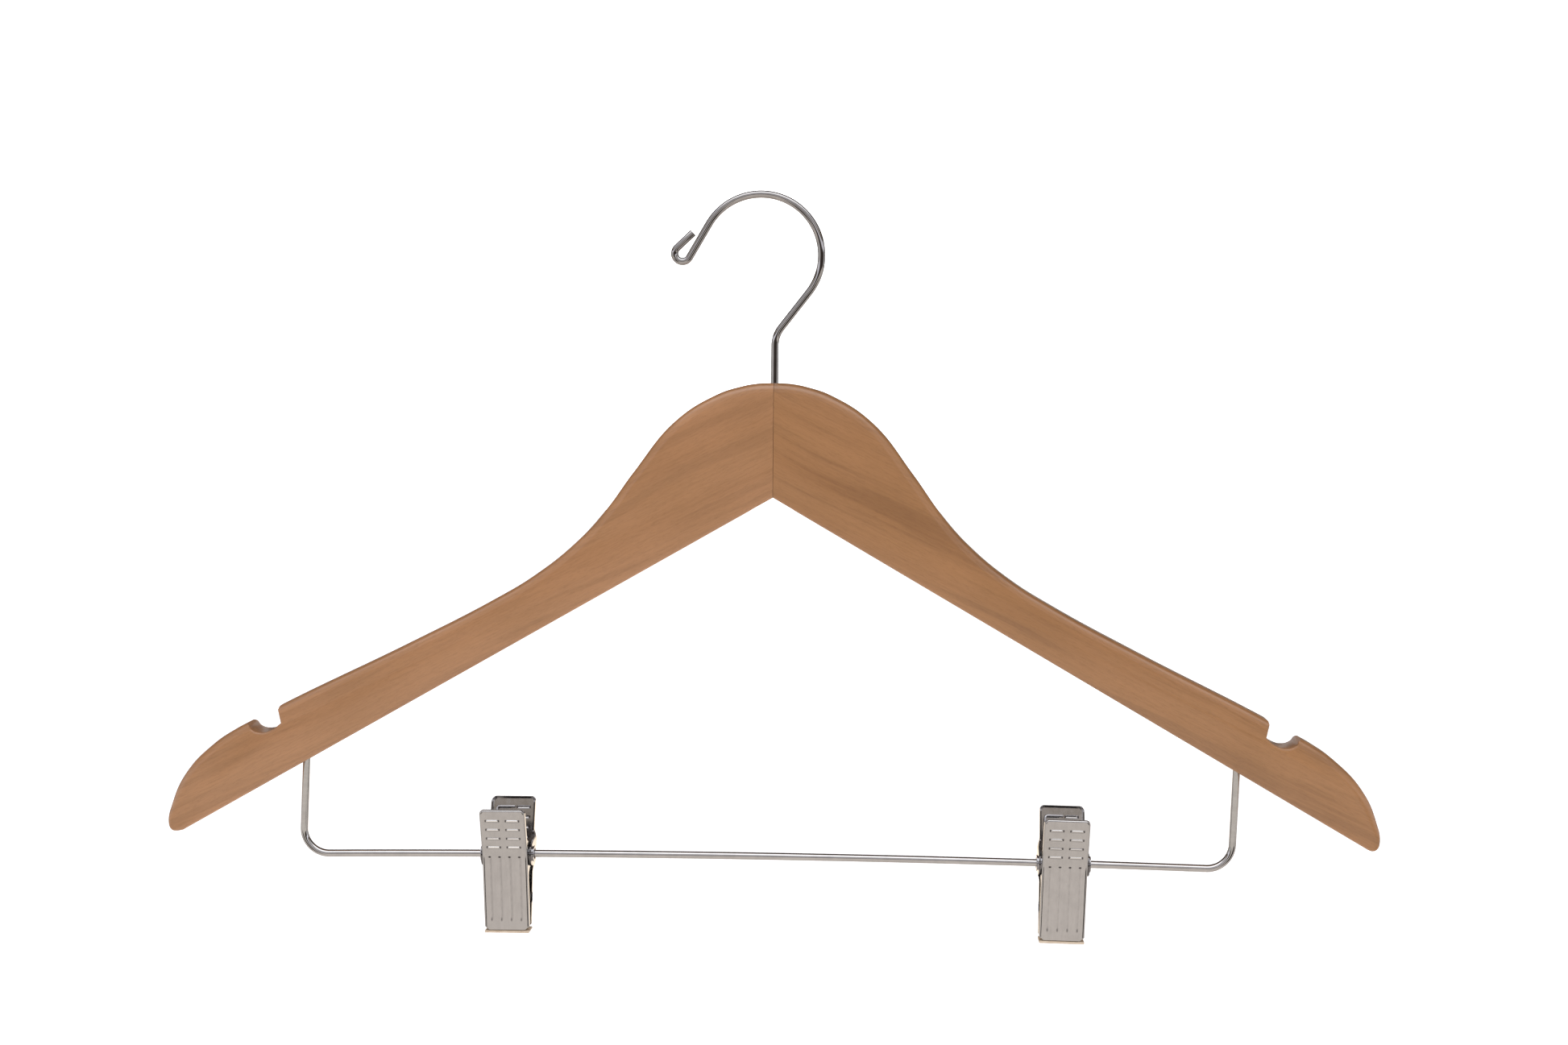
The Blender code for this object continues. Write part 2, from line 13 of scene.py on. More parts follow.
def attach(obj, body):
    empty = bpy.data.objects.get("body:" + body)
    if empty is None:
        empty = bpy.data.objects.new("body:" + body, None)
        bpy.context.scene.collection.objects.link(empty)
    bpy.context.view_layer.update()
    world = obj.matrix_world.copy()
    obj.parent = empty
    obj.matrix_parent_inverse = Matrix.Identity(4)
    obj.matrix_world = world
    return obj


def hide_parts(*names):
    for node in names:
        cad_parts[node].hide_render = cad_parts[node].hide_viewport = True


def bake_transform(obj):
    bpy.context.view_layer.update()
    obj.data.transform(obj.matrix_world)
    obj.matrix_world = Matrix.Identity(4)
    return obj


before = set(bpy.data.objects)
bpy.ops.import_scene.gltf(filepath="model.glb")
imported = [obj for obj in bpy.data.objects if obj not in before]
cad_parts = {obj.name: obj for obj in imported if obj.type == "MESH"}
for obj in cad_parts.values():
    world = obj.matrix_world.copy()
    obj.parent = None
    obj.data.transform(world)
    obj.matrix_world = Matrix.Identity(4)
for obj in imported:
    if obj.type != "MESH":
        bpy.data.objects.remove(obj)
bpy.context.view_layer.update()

MM = 0.001

# ---------------- dimensions, as in the CAD source

HOOK_WIRE_R = 1.35 * MM
HOOK_ARC_R = 21.6 * MM
HOOK_ARC_OFFSET = 5.25 * MM
HOOK_ARC_RISE = 45.37 * MM
HOOK_NECK_HEADING = 52.3
HOOK_NECK_BEND_R = 10.4 * MM
HOOK_TIP_HEADING = 240.0
HOOK_TIP_RUN = 13.7 * MM
HOOK_LOOP_R = 2.82 * MM
HOOK_LOOP_TURN = 196.5
HOOK_LOOP_END = 7.85 * MM
HOOK_FOOT = -14.9 * MM
HOOK_BUTTON = 1.65  # radius of the upset lower end, in wire radii
HOOK_BUTTON_ENDS = (-1.6 * MM, -0.15 * MM)
HOOK_END_ROUND = 0.12
WIRE_SIDES = 32

HEAD_TOP = -(HOOK_ARC_RISE + sqrt((HOOK_ARC_R - HOOK_WIRE_R) ** 2 - HOOK_ARC_OFFSET**2))

ARM_T = 12.0 * MM
ARM_OUTLINE_STEPS = 16
SEAM_GAP = 0.12 * MM
GLUE_T = 0.1 * MM
GLUE_CLEAR = 0.02 * MM
GLUE_SINK = 0.8 * MM  # how far the glue stays below the faces and the lower edge
TOP_ROUND = 3.2 * MM
LOWER_ROUND = 0.37
ROUND_STEPS = 9
FOOT_FADE = (3.0, 14.0)  # heights above the lower edge where the rim grows rounder
SAME_PLACE = 1e-6
TIP_STRETCH = {"left": 1.5, "right": 0.3}
CROTCH_DEPTH = 40.8
LOWER_EDGE_SLOPE = tan(radians(30.0))
SHOULDER = (
    (6, -0.3),
    (12, -1.45),
    (20, -4.15),
    (35, -13.8),
    (50, -32.4),
    (60, -46.3),
    (70, -57.4),
    (85, -69.6),
    (100, -78.8),
    (130, -94.7),
    (176.7, -118.1),
)
TIP = (
    (188, -124.3),
    (192, -126.5),
    (200, -132.0),
    (210, -142.6),
    (215.2, -154.0),
    (216.1, -161.0),
    (214.9, -163.4),
    (213.6, -163.8),
)
TIP_FOOT = 212.4

NOTCH_WALL = ((174.9, -116.6), (176.3, -118.1), (176.55, -119.2), (175.5, -124.0))
NOTCH_FLOOR = ((178.6, -126.4), (182.4, -127.5), (185.7, -126.6))
NOTCH_LIP = ((187.3, -124.8), (188.3, -124.3), (190.6, -124.2))
NOTCH_MOUTH = ((190.6, -112.0), (174.9, -108.0))
NOTCH_ROUND = 0.9 * MM
NOTCH_STEPS = 5
NOTCH_CLEAR = 0.1 * MM
NOTCH_OUTLINE_STEPS = 8

HOOK_BORE_R = 3.3 * MM
HOOK_BORE_DEPTH = 19.0 * MM
HOOK_BORE_CLEAR = 3 * MM
DOWEL_R = 3.0 * MM
DOWEL_HOLE_R = 3.3 * MM
DOWEL_REACH = 15.3 * MM
DOWEL_DEPTHS = (24.0 * MM, 33.0 * MM)

BAR_WIRE_R = 1.3 * MM
BAR_DEPTH = 172.2 * MM
BAR_BOW = 1.66 * MM
BAR_CORNER_R = 9.0 * MM
BAR_SHIFT = -0.6 * MM
LEG_OUT = 167.5 * MM
LEG_OUT_DEPTH = 120.0 * MM
LEG_TOP_DEPTH = 126.8 * MM
LEG_LEAN = 2.0
LEG_HOLE_R = 1.42 * MM
BAR_Z = HEAD_TOP - BAR_DEPTH

CLIPS = {"left": (-95.1 * MM, -0.4), "right": (105.2 * MM, 0.9)}
DASH_HIGHLIGHT_STRENGTH = {"left": 1.0, "right": 0.5}  # how strong the painted highlight on the pressed dashes is
JAW_TOP = 18.4 * MM
JAW_BOTTOM = -27.2 * MM
SHEET_T = 0.6 * MM
JAW_HALF_W = 8.1 * MM
EAR_R = 4.7 * MM
EAR_JOG = 0.9 * MM
SHEET_AT_FOOT = 3.0 * MM
SHEET_AT_BAR = 7.0 * MM
SHEET_AT_HEAD = 12.9 * MM
FLANGE = 2.4 * MM
TOP_FLANGE = 1.7 * MM
CORNER_R = 1.7 * MM
FOLD_R = 0.85 * MM
BAR_BEND = 1.2 * MM  # half the height of a jaw's soft bend beside the bar
PAD_GAP = 0.15 * MM
PAD_TOP = -18.0 * MM
PAD_LIP = 0.9 * MM
PAD_RIDGE_STEP = 0.35 * MM
PAD_RIDGES = (0.0, 0.3, 0.38, 0.3)
PAD_ROUND = 0.2 * MM
PAD_BEVEL = 0.12 * MM
TUBE_BORE_R = 1.9 * MM
TUBE_R = 2.45 * MM
TUBE_RIM_R = 2.9 * MM
TUBE_RIM_T = 0.4 * MM
TUBE_RIM_ROUND = 0.2 * MM
TUBE_CHAMFER = 0.15 * MM
TUBE_HALF_L = 9.7 * MM
SPRING_WIRE_R = 0.45 * MM
SPRING_R = 3.2 * MM
SPRING_HALF_L = 6.1 * MM
SPRING_TURNS = 8
SPRING_LEG = (10.5 * MM, 14.9 * MM)
SPRING_END = 6.7 * MM
SPRING_BEND_R = 1.1 * MM
SPRING_BEND_ANGLES = (0, 0.39, 0.79, 1.18, 1.57)
SPRING_TURN_STEPS = 36
SPRING_SIDES = 16
FIT = 0.3 * MM

SIDES = {"left": -1, "right": 1}

# ---------------- materials

MIX_SOCKETS = ("Factor", 6, 7)  # a colour mix's factor and its two colours
MIXED = 2  # its colour output

# The wood's layers along, through and across the grain, from broad bands to fine fleck.
GRAIN_WANDER = 0.020
GRAIN_WANDER_SCALE = 9.0
BAND_SCALE = (5.0, 30.0, 85.0)
GROWTH_SCALE = (9.0, 60.0, 300.0)
STREAK_SCALE = (60.0, 400.0, 1500.0)
FLECK_SCALE = (420.0, 900.0, 2600.0)
CLOUD_SCALE = 30.0
WOOD_BANDS = (
    (0.30, (0.405, 0.205, 0.086)),
    (0.45, (0.425, 0.220, 0.097)),
    (0.60, (0.440, 0.231, 0.104)),
    (0.75, (0.415, 0.212, 0.092)),
)
WOOD_CLOUDS = ((0.32, (0.93, 0.92, 0.88)), (0.62, (1.03, 1.03, 1.05)))
LACQUER = {"Specular IOR Level": 0.4, "Coat Weight": 1.0, "Coat Roughness": 0.20}

PATCH_SCALE = 260.0
# Painted highlight for the tops of the clips' pressed dashes, and painted shade for their pressed
# marks and flange edges.
PAINTED_HIGHLIGHT_COLOUR = (1.0, 1.0, 1.0)
PAINTED_SHADE_COLOUR = (0.045, 0.040, 0.045)

PAD_FINE_SCALE = 2400.0
PAD_CLOUD_SCALE = 300.0
PAD_CLOUDS = ((0.3, (0.60, 0.47, 0.34)), (0.7, (0.72, 0.60, 0.46)))

# Bumps: strength, and height in metres.
WOOD_BUMP = (0.30, 0.00005)
METAL_BUMP = (0.12, 0.00002)
PAD_BUMP = (0.3, 0.00003)


def node_tree(name):
    material = bpy.data.materials.new(name)
    material.use_nodes = True
    tree = material.node_tree
    return material, tree, tree.nodes["Principled BSDF"]


def add(tree, kind, **settings):
    """A new node; settings are its attributes, or default values of inputs given as in_NAME."""
    node = tree.nodes.new("ShaderNode" + kind)
    for key, value in settings.items():
        if key.startswith("in_"):
            node.inputs[key[3:].replace("_", " ")].default_value = value
        else:
            setattr(node, key, value)
    return node


def link(tree, source, output, target, socket):
    tree.links.new(source.outputs[output], target.inputs[socket])


def coordinates(tree, scale=(1, 1, 1), rotation=(0, 0, 0)):
    """Object coordinates, turned and stretched."""
    texture = add(tree, "TexCoord")
    turned = add(tree, "Mapping", in_Rotation=[radians(angle) for angle in rotation])
    link(tree, texture, "Object", turned, "Vector")
    stretched = add(tree, "Mapping", in_Scale=scale)
    link(tree, turned, "Vector", stretched, "Vector")
    return stretched


def noise(tree, vector, scale, detail=3.0, roughness=0.55):
    texture = add(tree, "TexNoise", in_Scale=scale, in_Detail=detail, in_Roughness=roughness)
    link(tree, vector, "Vector", texture, "Vector")
    return texture


def ramp(tree, source, output, stops):
    node = add(tree, "ValToRGB")
    elements = node.color_ramp.elements
    while len(elements) < len(stops):
        elements.new(0.5)
    for element, (position, colour) in zip(elements, stops):
        element.position = position
        element.color = (*colour, 1.0)
    link(tree, source, output, node, "Fac")
    return node


def grey_ramp(tree, source, output, stops):
    """A ramp whose stops are (position, level of grey)."""
    return ramp(tree, source, output, [(position, (level,) * 3) for position, level in stops])


def blend_colours(tree, kind, factor, first, second):
    """A mix of two colours.

    first and second are each a colour or (node, output), and factor is a number or (node, output).
    """
    mix = add(tree, "Mix", data_type="RGBA", blend_type=kind)
    for name, value in zip(MIX_SOCKETS, (factor, first, second)):
        socket = mix.inputs[name]
        if isinstance(value, tuple) and isinstance(value[0], bpy.types.Node):
            tree.links.new(value[0].outputs[value[1]], socket)
        else:
            socket.default_value = value if isinstance(value, float) else (*value, 1.0)
    return mix


def math_node(tree, operation, first, second):
    node = add(tree, "Math", operation=operation)
    for socket, value in zip(node.inputs, (first, second)):
        if isinstance(value, tuple):
            tree.links.new(value[0].outputs[value[1]], socket)
        else:
            socket.default_value = value
    return node


def bump(tree, shader, height, output, strength, distance):
    node = add(tree, "Bump", in_Strength=strength, in_Distance=distance)
    link(tree, height, output, node, "Height")
    link(tree, node, "Normal", shader, "Normal")
    return node


def layer(tree, source, output, scale, location, detail, roughness):
    """Noise drawn out along the grain by its own scale."""
    placed = add(tree, "Mapping", in_Scale=scale, in_Location=location)
    link(tree, source, output, placed, "Vector")
    return noise(tree, placed, 1.0, detail, roughness)


def wood_material(name, turn, shift, tint, stripe):
    """Lacquered close-grained wood whose grain runs along the arm.

    turn is the grain's angle, shift picks the piece of wood, stripe is how dark its lines are.
    """
    material, tree, shader = node_tree(name)
    along = coordinates(tree, rotation=(0, turn, 0))
    wander = noise(tree, along, GRAIN_WANDER_SCALE, 1.0)
    moved = add(tree, "VectorMath", operation="MULTIPLY_ADD")
    moved.inputs[1].default_value = (0.0, 0.0, GRAIN_WANDER)
    link(tree, wander, "Color", moved, 0)
    link(tree, along, "Vector", moved, 2)
    place = (shift, shift * 2, shift * 3)
    bands = layer(tree, moved, "Vector", BAND_SCALE, place, 2.0, 0.5)
    growth = layer(tree, moved, "Vector", GROWTH_SCALE, place, 2.0, 0.6)
    streaks = layer(tree, along, "Vector", STREAK_SCALE, place, 3.0, 0.6)
    fleck = layer(tree, along, "Vector", FLECK_SCALE, place, 2.0, 0.6)
    cloud = noise(tree, along, CLOUD_SCALE, 3.0, 0.5)
    stops = [(place, tuple(a * b for a, b in zip(colour, tint))) for place, colour in WOOD_BANDS]
    colour = (ramp(tree, bands, "Fac", stops), "Color")
    for source, share, stops in (
        (growth, 1.0, ((0.38, 1.0 - stripe), (0.47, 1.0), (0.70, 1.03))),
        (streaks, 1.0, ((0.35, 0.94), (0.50, 1.0), (0.70, 1.03))),
        (fleck, 0.8, ((0.33, 0.90), (0.45, 1.0), (0.75, 1.05))),
    ):
        shade = grey_ramp(tree, source, "Fac", stops)
        colour = (blend_colours(tree, "MULTIPLY", share, colour, (shade, "Color")), MIXED)
    shade = ramp(tree, cloud, "Fac", WOOD_CLOUDS)
    clouded = blend_colours(tree, "MULTIPLY", 0.8, colour, (shade, "Color"))
    link(tree, clouded, MIXED, shader, "Base Color")
    gloss = grey_ramp(tree, fleck, "Fac", ((0.35, 0.50), (0.6, 0.40)))
    link(tree, gloss, "Color", shader, "Roughness")
    for name, value in LACQUER.items():
        shader.inputs[name].default_value = value
    height = math_node(tree, "ADD", (fleck, "Fac"), (streaks, "Fac"))
    bump(tree, shader, height, "Value", *WOOD_BUMP)
    return material


def metal_material(name, colour, roughness, streak_scale, wear=0.06, marked=False):
    """Bright plated or turned metal, faintly drawn along its length, with duller patches.

    A marked metal takes a painted highlight and painted shade from the mesh's own attributes.
    """
    material, tree, shader = node_tree(name)
    drawn = coordinates(tree, streak_scale)
    streaks = noise(tree, drawn, 1.0, 3.0, 0.6)
    patches = noise(tree, coordinates(tree), PATCH_SCALE, 3.0, 0.55)
    low = tuple(channel * (1.0 - wear) for channel in colour)
    high = tuple(channel * (1.0 + wear / 2) for channel in colour)
    tone = ramp(tree, patches, "Fac", ((0.32, low), (0.62, high)))
    streak_tone = grey_ramp(tree, streaks, "Fac", ((0.35, 0.94), (0.6, 1.0)))
    toned = blend_colours(tree, "MULTIPLY", 0.8, (tone, "Color"), (streak_tone, "Color"))
    if marked:
        # painted highlight and painted shade, taken from the mesh's attributes
        for mark, mark_colour in (("painted_highlight", PAINTED_HIGHLIGHT_COLOUR), ("painted_shade", PAINTED_SHADE_COLOUR)):
            amount = add(tree, "Attribute", attribute_name=mark)
            toned = blend_colours(tree, "MIX", (amount, "Fac"), (toned, MIXED), mark_colour)
    link(tree, toned, MIXED, shader, "Base Color")
    stops = ((0.35, roughness * 0.8), (0.55, roughness), (0.75, roughness * 1.6))
    link(tree, grey_ramp(tree, patches, "Fac", stops), "Color", shader, "Roughness")
    shader.inputs["Metallic"].default_value = 1.0
    bump(tree, shader, streaks, "Fac", *METAL_BUMP)
    return material


def pad_material():
    material, tree, shader = node_tree("pad_rubber_moulded")
    fine = noise(tree, coordinates(tree), PAD_FINE_SCALE, 3.0)
    cloud = noise(tree, coordinates(tree), PAD_CLOUD_SCALE, 2.0)
    tone = ramp(tree, cloud, "Fac", PAD_CLOUDS)
    speck = grey_ramp(tree, fine, "Fac", ((0.3, 0.9), (0.6, 1.03)))
    mixed = blend_colours(tree, "MULTIPLY", 0.8, (tone, "Color"), (speck, "Color"))
    link(tree, mixed, MIXED, shader, "Base Color")
    spread = grey_ramp(tree, fine, "Fac", ((0.3, 0.75), (0.7, 0.58)))
    link(tree, spread, "Color", shader, "Roughness")
    bump(tree, shader, fine, "Fac", *PAD_BUMP)
    return material


WOOD = {
    "left": wood_material("wood_left_arm", 27.0, 0.37, (0.945, 0.885, 0.83), 0.09),
    "right": wood_material("wood_right_arm", -27.0, 1.91, (0.855, 0.775, 0.64), 0.14),
}
DOWEL_WOOD = wood_material("dowel_beech", 90.0, 0.8, (1.25, 1.4, 1.5), 0.10)
GLUE = wood_material("glue_line", 90.0, 0.8, (0.34, 0.28, 0.22), 0.05)
HOOK_CHROME = metal_material("hook_chrome", (0.44, 0.43, 0.425), 0.06, (500, 500, 60))
BAR_CHROME = metal_material("bar_chrome", (0.56, 0.555, 0.55), 0.06, (40, 900, 900))
CLIP_STEEL = metal_material(
    "clip_steel_plated", (0.55, 0.545, 0.54), 0.16, (900, 900, 90), wear=0.05, marked=True
)
SPRING_STEEL = metal_material("spring_steel_drawn", (0.58, 0.58, 0.60), 0.14, (500, 1500, 1500))
BRASS = metal_material("sleeve_brass", (0.70, 0.50, 0.22), 0.22, (900, 900, 120))
PAD = pad_material()

# ---------------- mesh helpers

SHARP_ANGLE = 40
ROD_SIDES = 48
CAP_LEANS = (90, 60, 30, 0)


def new_object(name, data):
    item = bpy.data.objects.new(name, data)
    bpy.context.scene.collection.objects.link(item)
    return item


def new_piece(name, mesh, material, body, replaced=(), smooth=True):
    piece = new_object(name, mesh)
    mesh.materials.clear()
    mesh.materials.append(material)
    if smooth:
        mesh.shade_smooth()
        mesh.set_sharp_from_angle(angle=radians(SHARP_ANGLE))
    if body:
        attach(piece, body)
    if replaced:
        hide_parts(*replaced)
    return piece


def to_mesh(bm, name):
    bmesh.ops.recalc_face_normals(bm, faces=bm.faces)
    mesh = bpy.data.meshes.new(name)
    bm.to_mesh(mesh)
    bm.free()
    return mesh


def evaluated_mesh(item):
    """The final mesh of an object that is only made to get this mesh, and goes afterwards."""
    bpy.context.view_layer.update()
    graph = bpy.context.evaluated_depsgraph_get()
    mesh = bpy.data.meshes.new_from_object(item.evaluated_get(graph))
    bpy.data.objects.remove(item)
    return mesh


def applied(mesh, *modifiers):
    """The mesh after modifiers given as (kind, settings)."""
    carrier = new_object("carrier", mesh)
    for kind, settings in modifiers:
        modifier = carrier.modifiers.new(kind.lower(), kind)
        for key, value in settings.items():
            setattr(modifier, key, value)
    result = evaluated_mesh(carrier)
    result.name = mesh.name
    return result


def rod_mesh(start, end, radius):
    start, end = Vector(start), Vector(end)
    along = end - start
    turn = Vector((0, 0, 1)).rotation_difference(along).to_matrix().to_4x4()
    bm = bmesh.new()
    bmesh.ops.create_cone(
        bm,
        cap_ends=True,
        segments=ROD_SIDES,
        radius1=radius,
        radius2=radius,
        depth=along.length,
        matrix=Matrix.Translation((start + end) / 2) @ turn,
    )
    return to_mesh(bm, "rod")


def carved(mesh, tools):
    """The mesh with other meshes taken away."""
    cutters = [new_object(f"cutter_{index}", tool) for index, tool in enumerate(tools)]
    modifiers = []
    for cutter in cutters:
        settings = {"operation": "DIFFERENCE", "solver": "EXACT", "object": cutter}
        modifiers.append(("BOOLEAN", settings))
    result = applied(mesh, *modifiers)
    for cutter in cutters:
        bpy.data.objects.remove(cutter)
    return result


def trace(start, heading, moves, step_turn=2.5, step_length=4.0 * MM, least_steps=6):
    """A wire's centreline in the XZ plane.

    A move is ("line", length) or ("arc", radius, turn to the left).
    """
    x, z = start
    points = [(x, z)]
    for move in moves:
        if move[0] == "line":
            steps = max(1, round(move[1] / step_length))
            for _ in range(steps):
                x += move[1] / steps * cos(radians(heading))
                z += move[1] / steps * sin(radians(heading))
                points.append((x, z))
            continue
        _, radius, turn = move
        side = copysign(90.0, turn)
        centre_x = x + radius * cos(radians(heading + side))
        centre_z = z + radius * sin(radians(heading + side))
        length = radius * abs(radians(turn))
        steps = max(least_steps, round(abs(turn) / step_turn), round(length / step_length))
        for step in range(1, steps + 1):
            angle = radians(heading - side + turn * step / steps)
            x = centre_x + radius * cos(angle)
            z = centre_z + radius * sin(angle)
            points.append((x, z))
        heading += turn
    return points


def skin(bm, rings, capped=True):
    """Faces between rings of equally many vertices, and over the first and last ring."""
    for low, high in zip(rings, rings[1:]):
        for i in range(len(low)):
            j = (i + 1) % len(low)
            bm.faces.new((low[i], low[j], high[j], high[i]))
    if capped:
        bm.faces.new(rings[0])
        bm.faces.new(rings[-1])


def tube_mesh(name, points, radius, sides=24, thickness=None, end_round=0.35):
    """A round wire along 3D points, with slightly rounded ends."""
    points = [Vector(point) for point in points]
    tangents = []
    for index in range(len(points)):
        before = points[max(index - 1, 0)]
        after = points[min(index + 1, len(points) - 1)]
        tangents.append((after - before).normalized())
    stations = []
    for index, (point, tangent) in enumerate(zip(points, tangents)):
        size = radius * (thickness[index] if thickness else 1.0)
        if 0 < index < len(points) - 1:
            stations.append((point, tangent, size))
            continue
        rounding, into = size * end_round, 1 if index == 0 else -1
        cap = []
        for lean in (radians(angle) for angle in CAP_LEANS):
            back = rounding * (1 - sin(lean))
            narrowed = size - rounding * (1 - cos(lean))
            cap.append((point + tangent * into * back, tangent, narrowed))
        stations += cap if index == 0 else cap[::-1]
    normal = tangents[0].orthogonal().normalized()
    bm = bmesh.new()
    rings = []
    for centre, tangent, size in stations:
        normal = (normal - tangent * normal.dot(tangent)).normalized()
        across = tangent.cross(normal)
        verts = []
        for step in range(sides):
            angle = 2 * pi * step / sides
            spoke = normal * cos(angle) + across * sin(angle)
            verts.append(bm.verts.new(centre + size * spoke))
        rings.append(verts)
    skin(bm, rings)
    return to_mesh(bm, name)


def turned_mesh(name, profile, steps=ROD_SIDES):
    """A ring turned about Z from a closed profile of (radius, height)."""
    bm = bmesh.new()
    rings = []
    for radius, height in profile:
        ring = []
        for step in range(steps):
            angle = 2 * pi * step / steps
            ring.append(bm.verts.new((radius * cos(angle), radius * sin(angle), height)))
        rings.append(ring)
    skin(bm, rings + rings[:1], capped=False)
    return to_mesh(bm, name)


def fade(value, start, end):
    """0 before start, 1 after end, and an even curve between them."""
    share = max(0.0, min(1.0, (value - start) / (end - start)))
    return share * share * (3 - 2 * share)


# ---------------- hook


def make_hook():
    neck_x = HOOK_ARC_R * sin(radians(HOOK_NECK_HEADING)) - HOOK_ARC_OFFSET
    neck_z = HOOK_ARC_RISE - HOOK_ARC_R * cos(radians(HOOK_NECK_HEADING))
    slope = radians(HOOK_NECK_HEADING)
    corner = neck_z - neck_x * tan(slope)
    bend = 90.0 - HOOK_NECK_HEADING
    tangent = HOOK_NECK_BEND_R * tan(radians(bend) / 2)
    moves = [
        ("line", corner - tangent - HOOK_FOOT),
        ("arc", HOOK_NECK_BEND_R, -bend),
        ("line", neck_x / cos(slope) - tangent),
        ("arc", HOOK_ARC_R, HOOK_TIP_HEADING - HOOK_NECK_HEADING),
        ("line", HOOK_TIP_RUN),
        ("arc", HOOK_LOOP_R, -HOOK_LOOP_TURN),
        ("line", HOOK_LOOP_END),
    ]
    button = [(0.0, HOOK_FOOT + end) for end in HOOK_BUTTON_ENDS]
    flat = button + trace((0.0, HOOK_FOOT), 90.0, moves)
    points = [(x, 0.0, HEAD_TOP + z) for x, z in flat]
    thickness = [HOOK_BUTTON] * len(button) + [1.0] * (len(points) - len(button))
    mesh = tube_mesh("hook_wire", points, HOOK_WIRE_R, WIRE_SIDES, thickness, HOOK_END_ROUND)
    return new_piece("hook_wire", mesh, HOOK_CHROME, "hook", ["hook"])


# ---------------- wooden arms


def lower_edge(x):
    return -(CROTCH_DEPTH + x * LOWER_EDGE_SLOPE)


def stretched(points, side_name):
    """Points of the drawn outline on one arm, in metres, with its tip drawn out sideways."""
    side, longer = SIDES[side_name], TIP_STRETCH[side_name]
    return [(side * (x + longer * (x / TIP_FOOT) ** 2) * MM, z * MM) for x, z in points]


def neighbours(outline):
    """Each point of a closed outline between the one before it and the one after it."""
    return zip(outline[-1:] + outline[:-1], outline, outline[1:] + outline[:1])


def smooth_outline(knots, steps):
    """Points in order round a closed curve through knots (x, z, kind of handle), in metres."""
    curve = bpy.data.curves.new("outline", "CURVE")
    curve.resolution_u = steps
    spline = curve.splines.new("BEZIER")
    spline.bezier_points.add(len(knots) - 1)
    spline.use_cyclic_u = True
    for point, (x, z, handle) in zip(spline.bezier_points, knots):
        point.co = (x, z, 0.0)
        point.handle_left_type = point.handle_right_type = handle
    points = [vert.co.xy for vert in evaluated_mesh(new_object("outline", curve)).vertices]
    return [point for _, point, after in neighbours(points) if (after - point).length > SAME_PLACE]


def arm_outline(side_name):
    """Points round one arm in order, before its notch is cut, from the seam and the head's top."""
    side = SIDES[side_name]
    seam = SEAM_GAP / MM / 2
    knots = [(side * seam * MM, 0.0, "VECTOR")]
    knots += [(*point, "AUTO") for point in stretched(SHOULDER + TIP, side_name)]
    knots += [(side * x * MM, lower_edge(x) * MM, "VECTOR") for x in (TIP_FOOT, seam)]
    return smooth_outline(knots, ARM_OUTLINE_STEPS)


def rim_radius(point):
    """How round the arm's front and back rims are at this point: less along the lower edge."""
    above_foot = fade(point.y / MM - lower_edge(abs(point.x) / MM), *FOOT_FADE)
    return TOP_ROUND * (LOWER_ROUND + (1.0 - LOWER_ROUND) * above_foot)


def inward(before, point, after, side):
    """The move that takes an outline point one unit inwards from both its edges.

    A point at the seam moves along it, so that the seam stays flat.
    """
    first, second = (point - before).normalized(), (after - point).normalized()
    normals = [side * Vector((edge.y, -edge.x)) for edge in (first, second)]
    near_seam = abs(point.x) < SEAM_GAP
    on_seam = [near_seam and abs(point.x - other.x) < SAME_PLACE for other in (before, after)]
    if any(on_seam):
        along = second if on_seam[1] else -first
        return along / along.dot(normals[on_seam.index(False)])
    return (normals[0] + normals[1]) / (1 + normals[0].dot(normals[1]))


def loft_mesh(name, sections):
    """A closed solid through sections that all have the same number of points."""
    bm = bmesh.new()
    skin(bm, [[bm.verts.new(point) for point in section] for section in sections])
    bmesh.ops.remove_doubles(bm, verts=bm.verts, dist=SAME_PLACE)
    return to_mesh(bm, name)


def notch_mesh(side_name):
    """The strap notch's cutter, which widens in a quarter round at the arm's two faces."""
    side = SIDES[side_name]
    knots = [(*point, "VECTOR") for point in stretched(NOTCH_WALL, side_name)]
    knots += [(*point, "AUTO") for point in stretched(NOTCH_FLOOR + NOTCH_LIP, side_name)]
    knots += [(*point, "VECTOR") for point in stretched(NOTCH_MOUTH, side_name)]
    outline = smooth_outline(knots, NOTCH_OUTLINE_STEPS)
    top = NOTCH_MOUTH[0][1] * MM
    rims = []
    for step in range(1, NOTCH_STEPS + 1):
        angle = radians(90.0 * step / NOTCH_STEPS)
        y = ARM_T / 2 - NOTCH_ROUND * (1 - cos(angle))
        rims.append((y, NOTCH_ROUND * (1 - sin(angle))))
    flare = (NOTCH_ROUND - rims[0][1]) / (ARM_T / 2 - rims[0][0])
    rims.insert(0, (ARM_T / 2 + NOTCH_CLEAR, NOTCH_ROUND + flare * NOTCH_CLEAR))
    sections = []
    for y, widening in [(-y, widening) for y, widening in rims] + rims[::-1]:
        section = []
        for before, point, after in neighbours(outline):
            move = inward(before, point, after, side)
            x, z = point + move * widening if point.y < top else point
            section.append((x, y, HEAD_TOP + z))
        sections.append(section)
    return loft_mesh(side_name + "_notch", sections)


def leg_x(side, depth):
    """Where a leg of the bar is, at a depth below the head's top. Side 0 is the bar's middle."""
    return BAR_SHIFT + side * LEG_OUT - (depth - LEG_OUT_DEPTH) * tan(radians(LEG_LEAN))


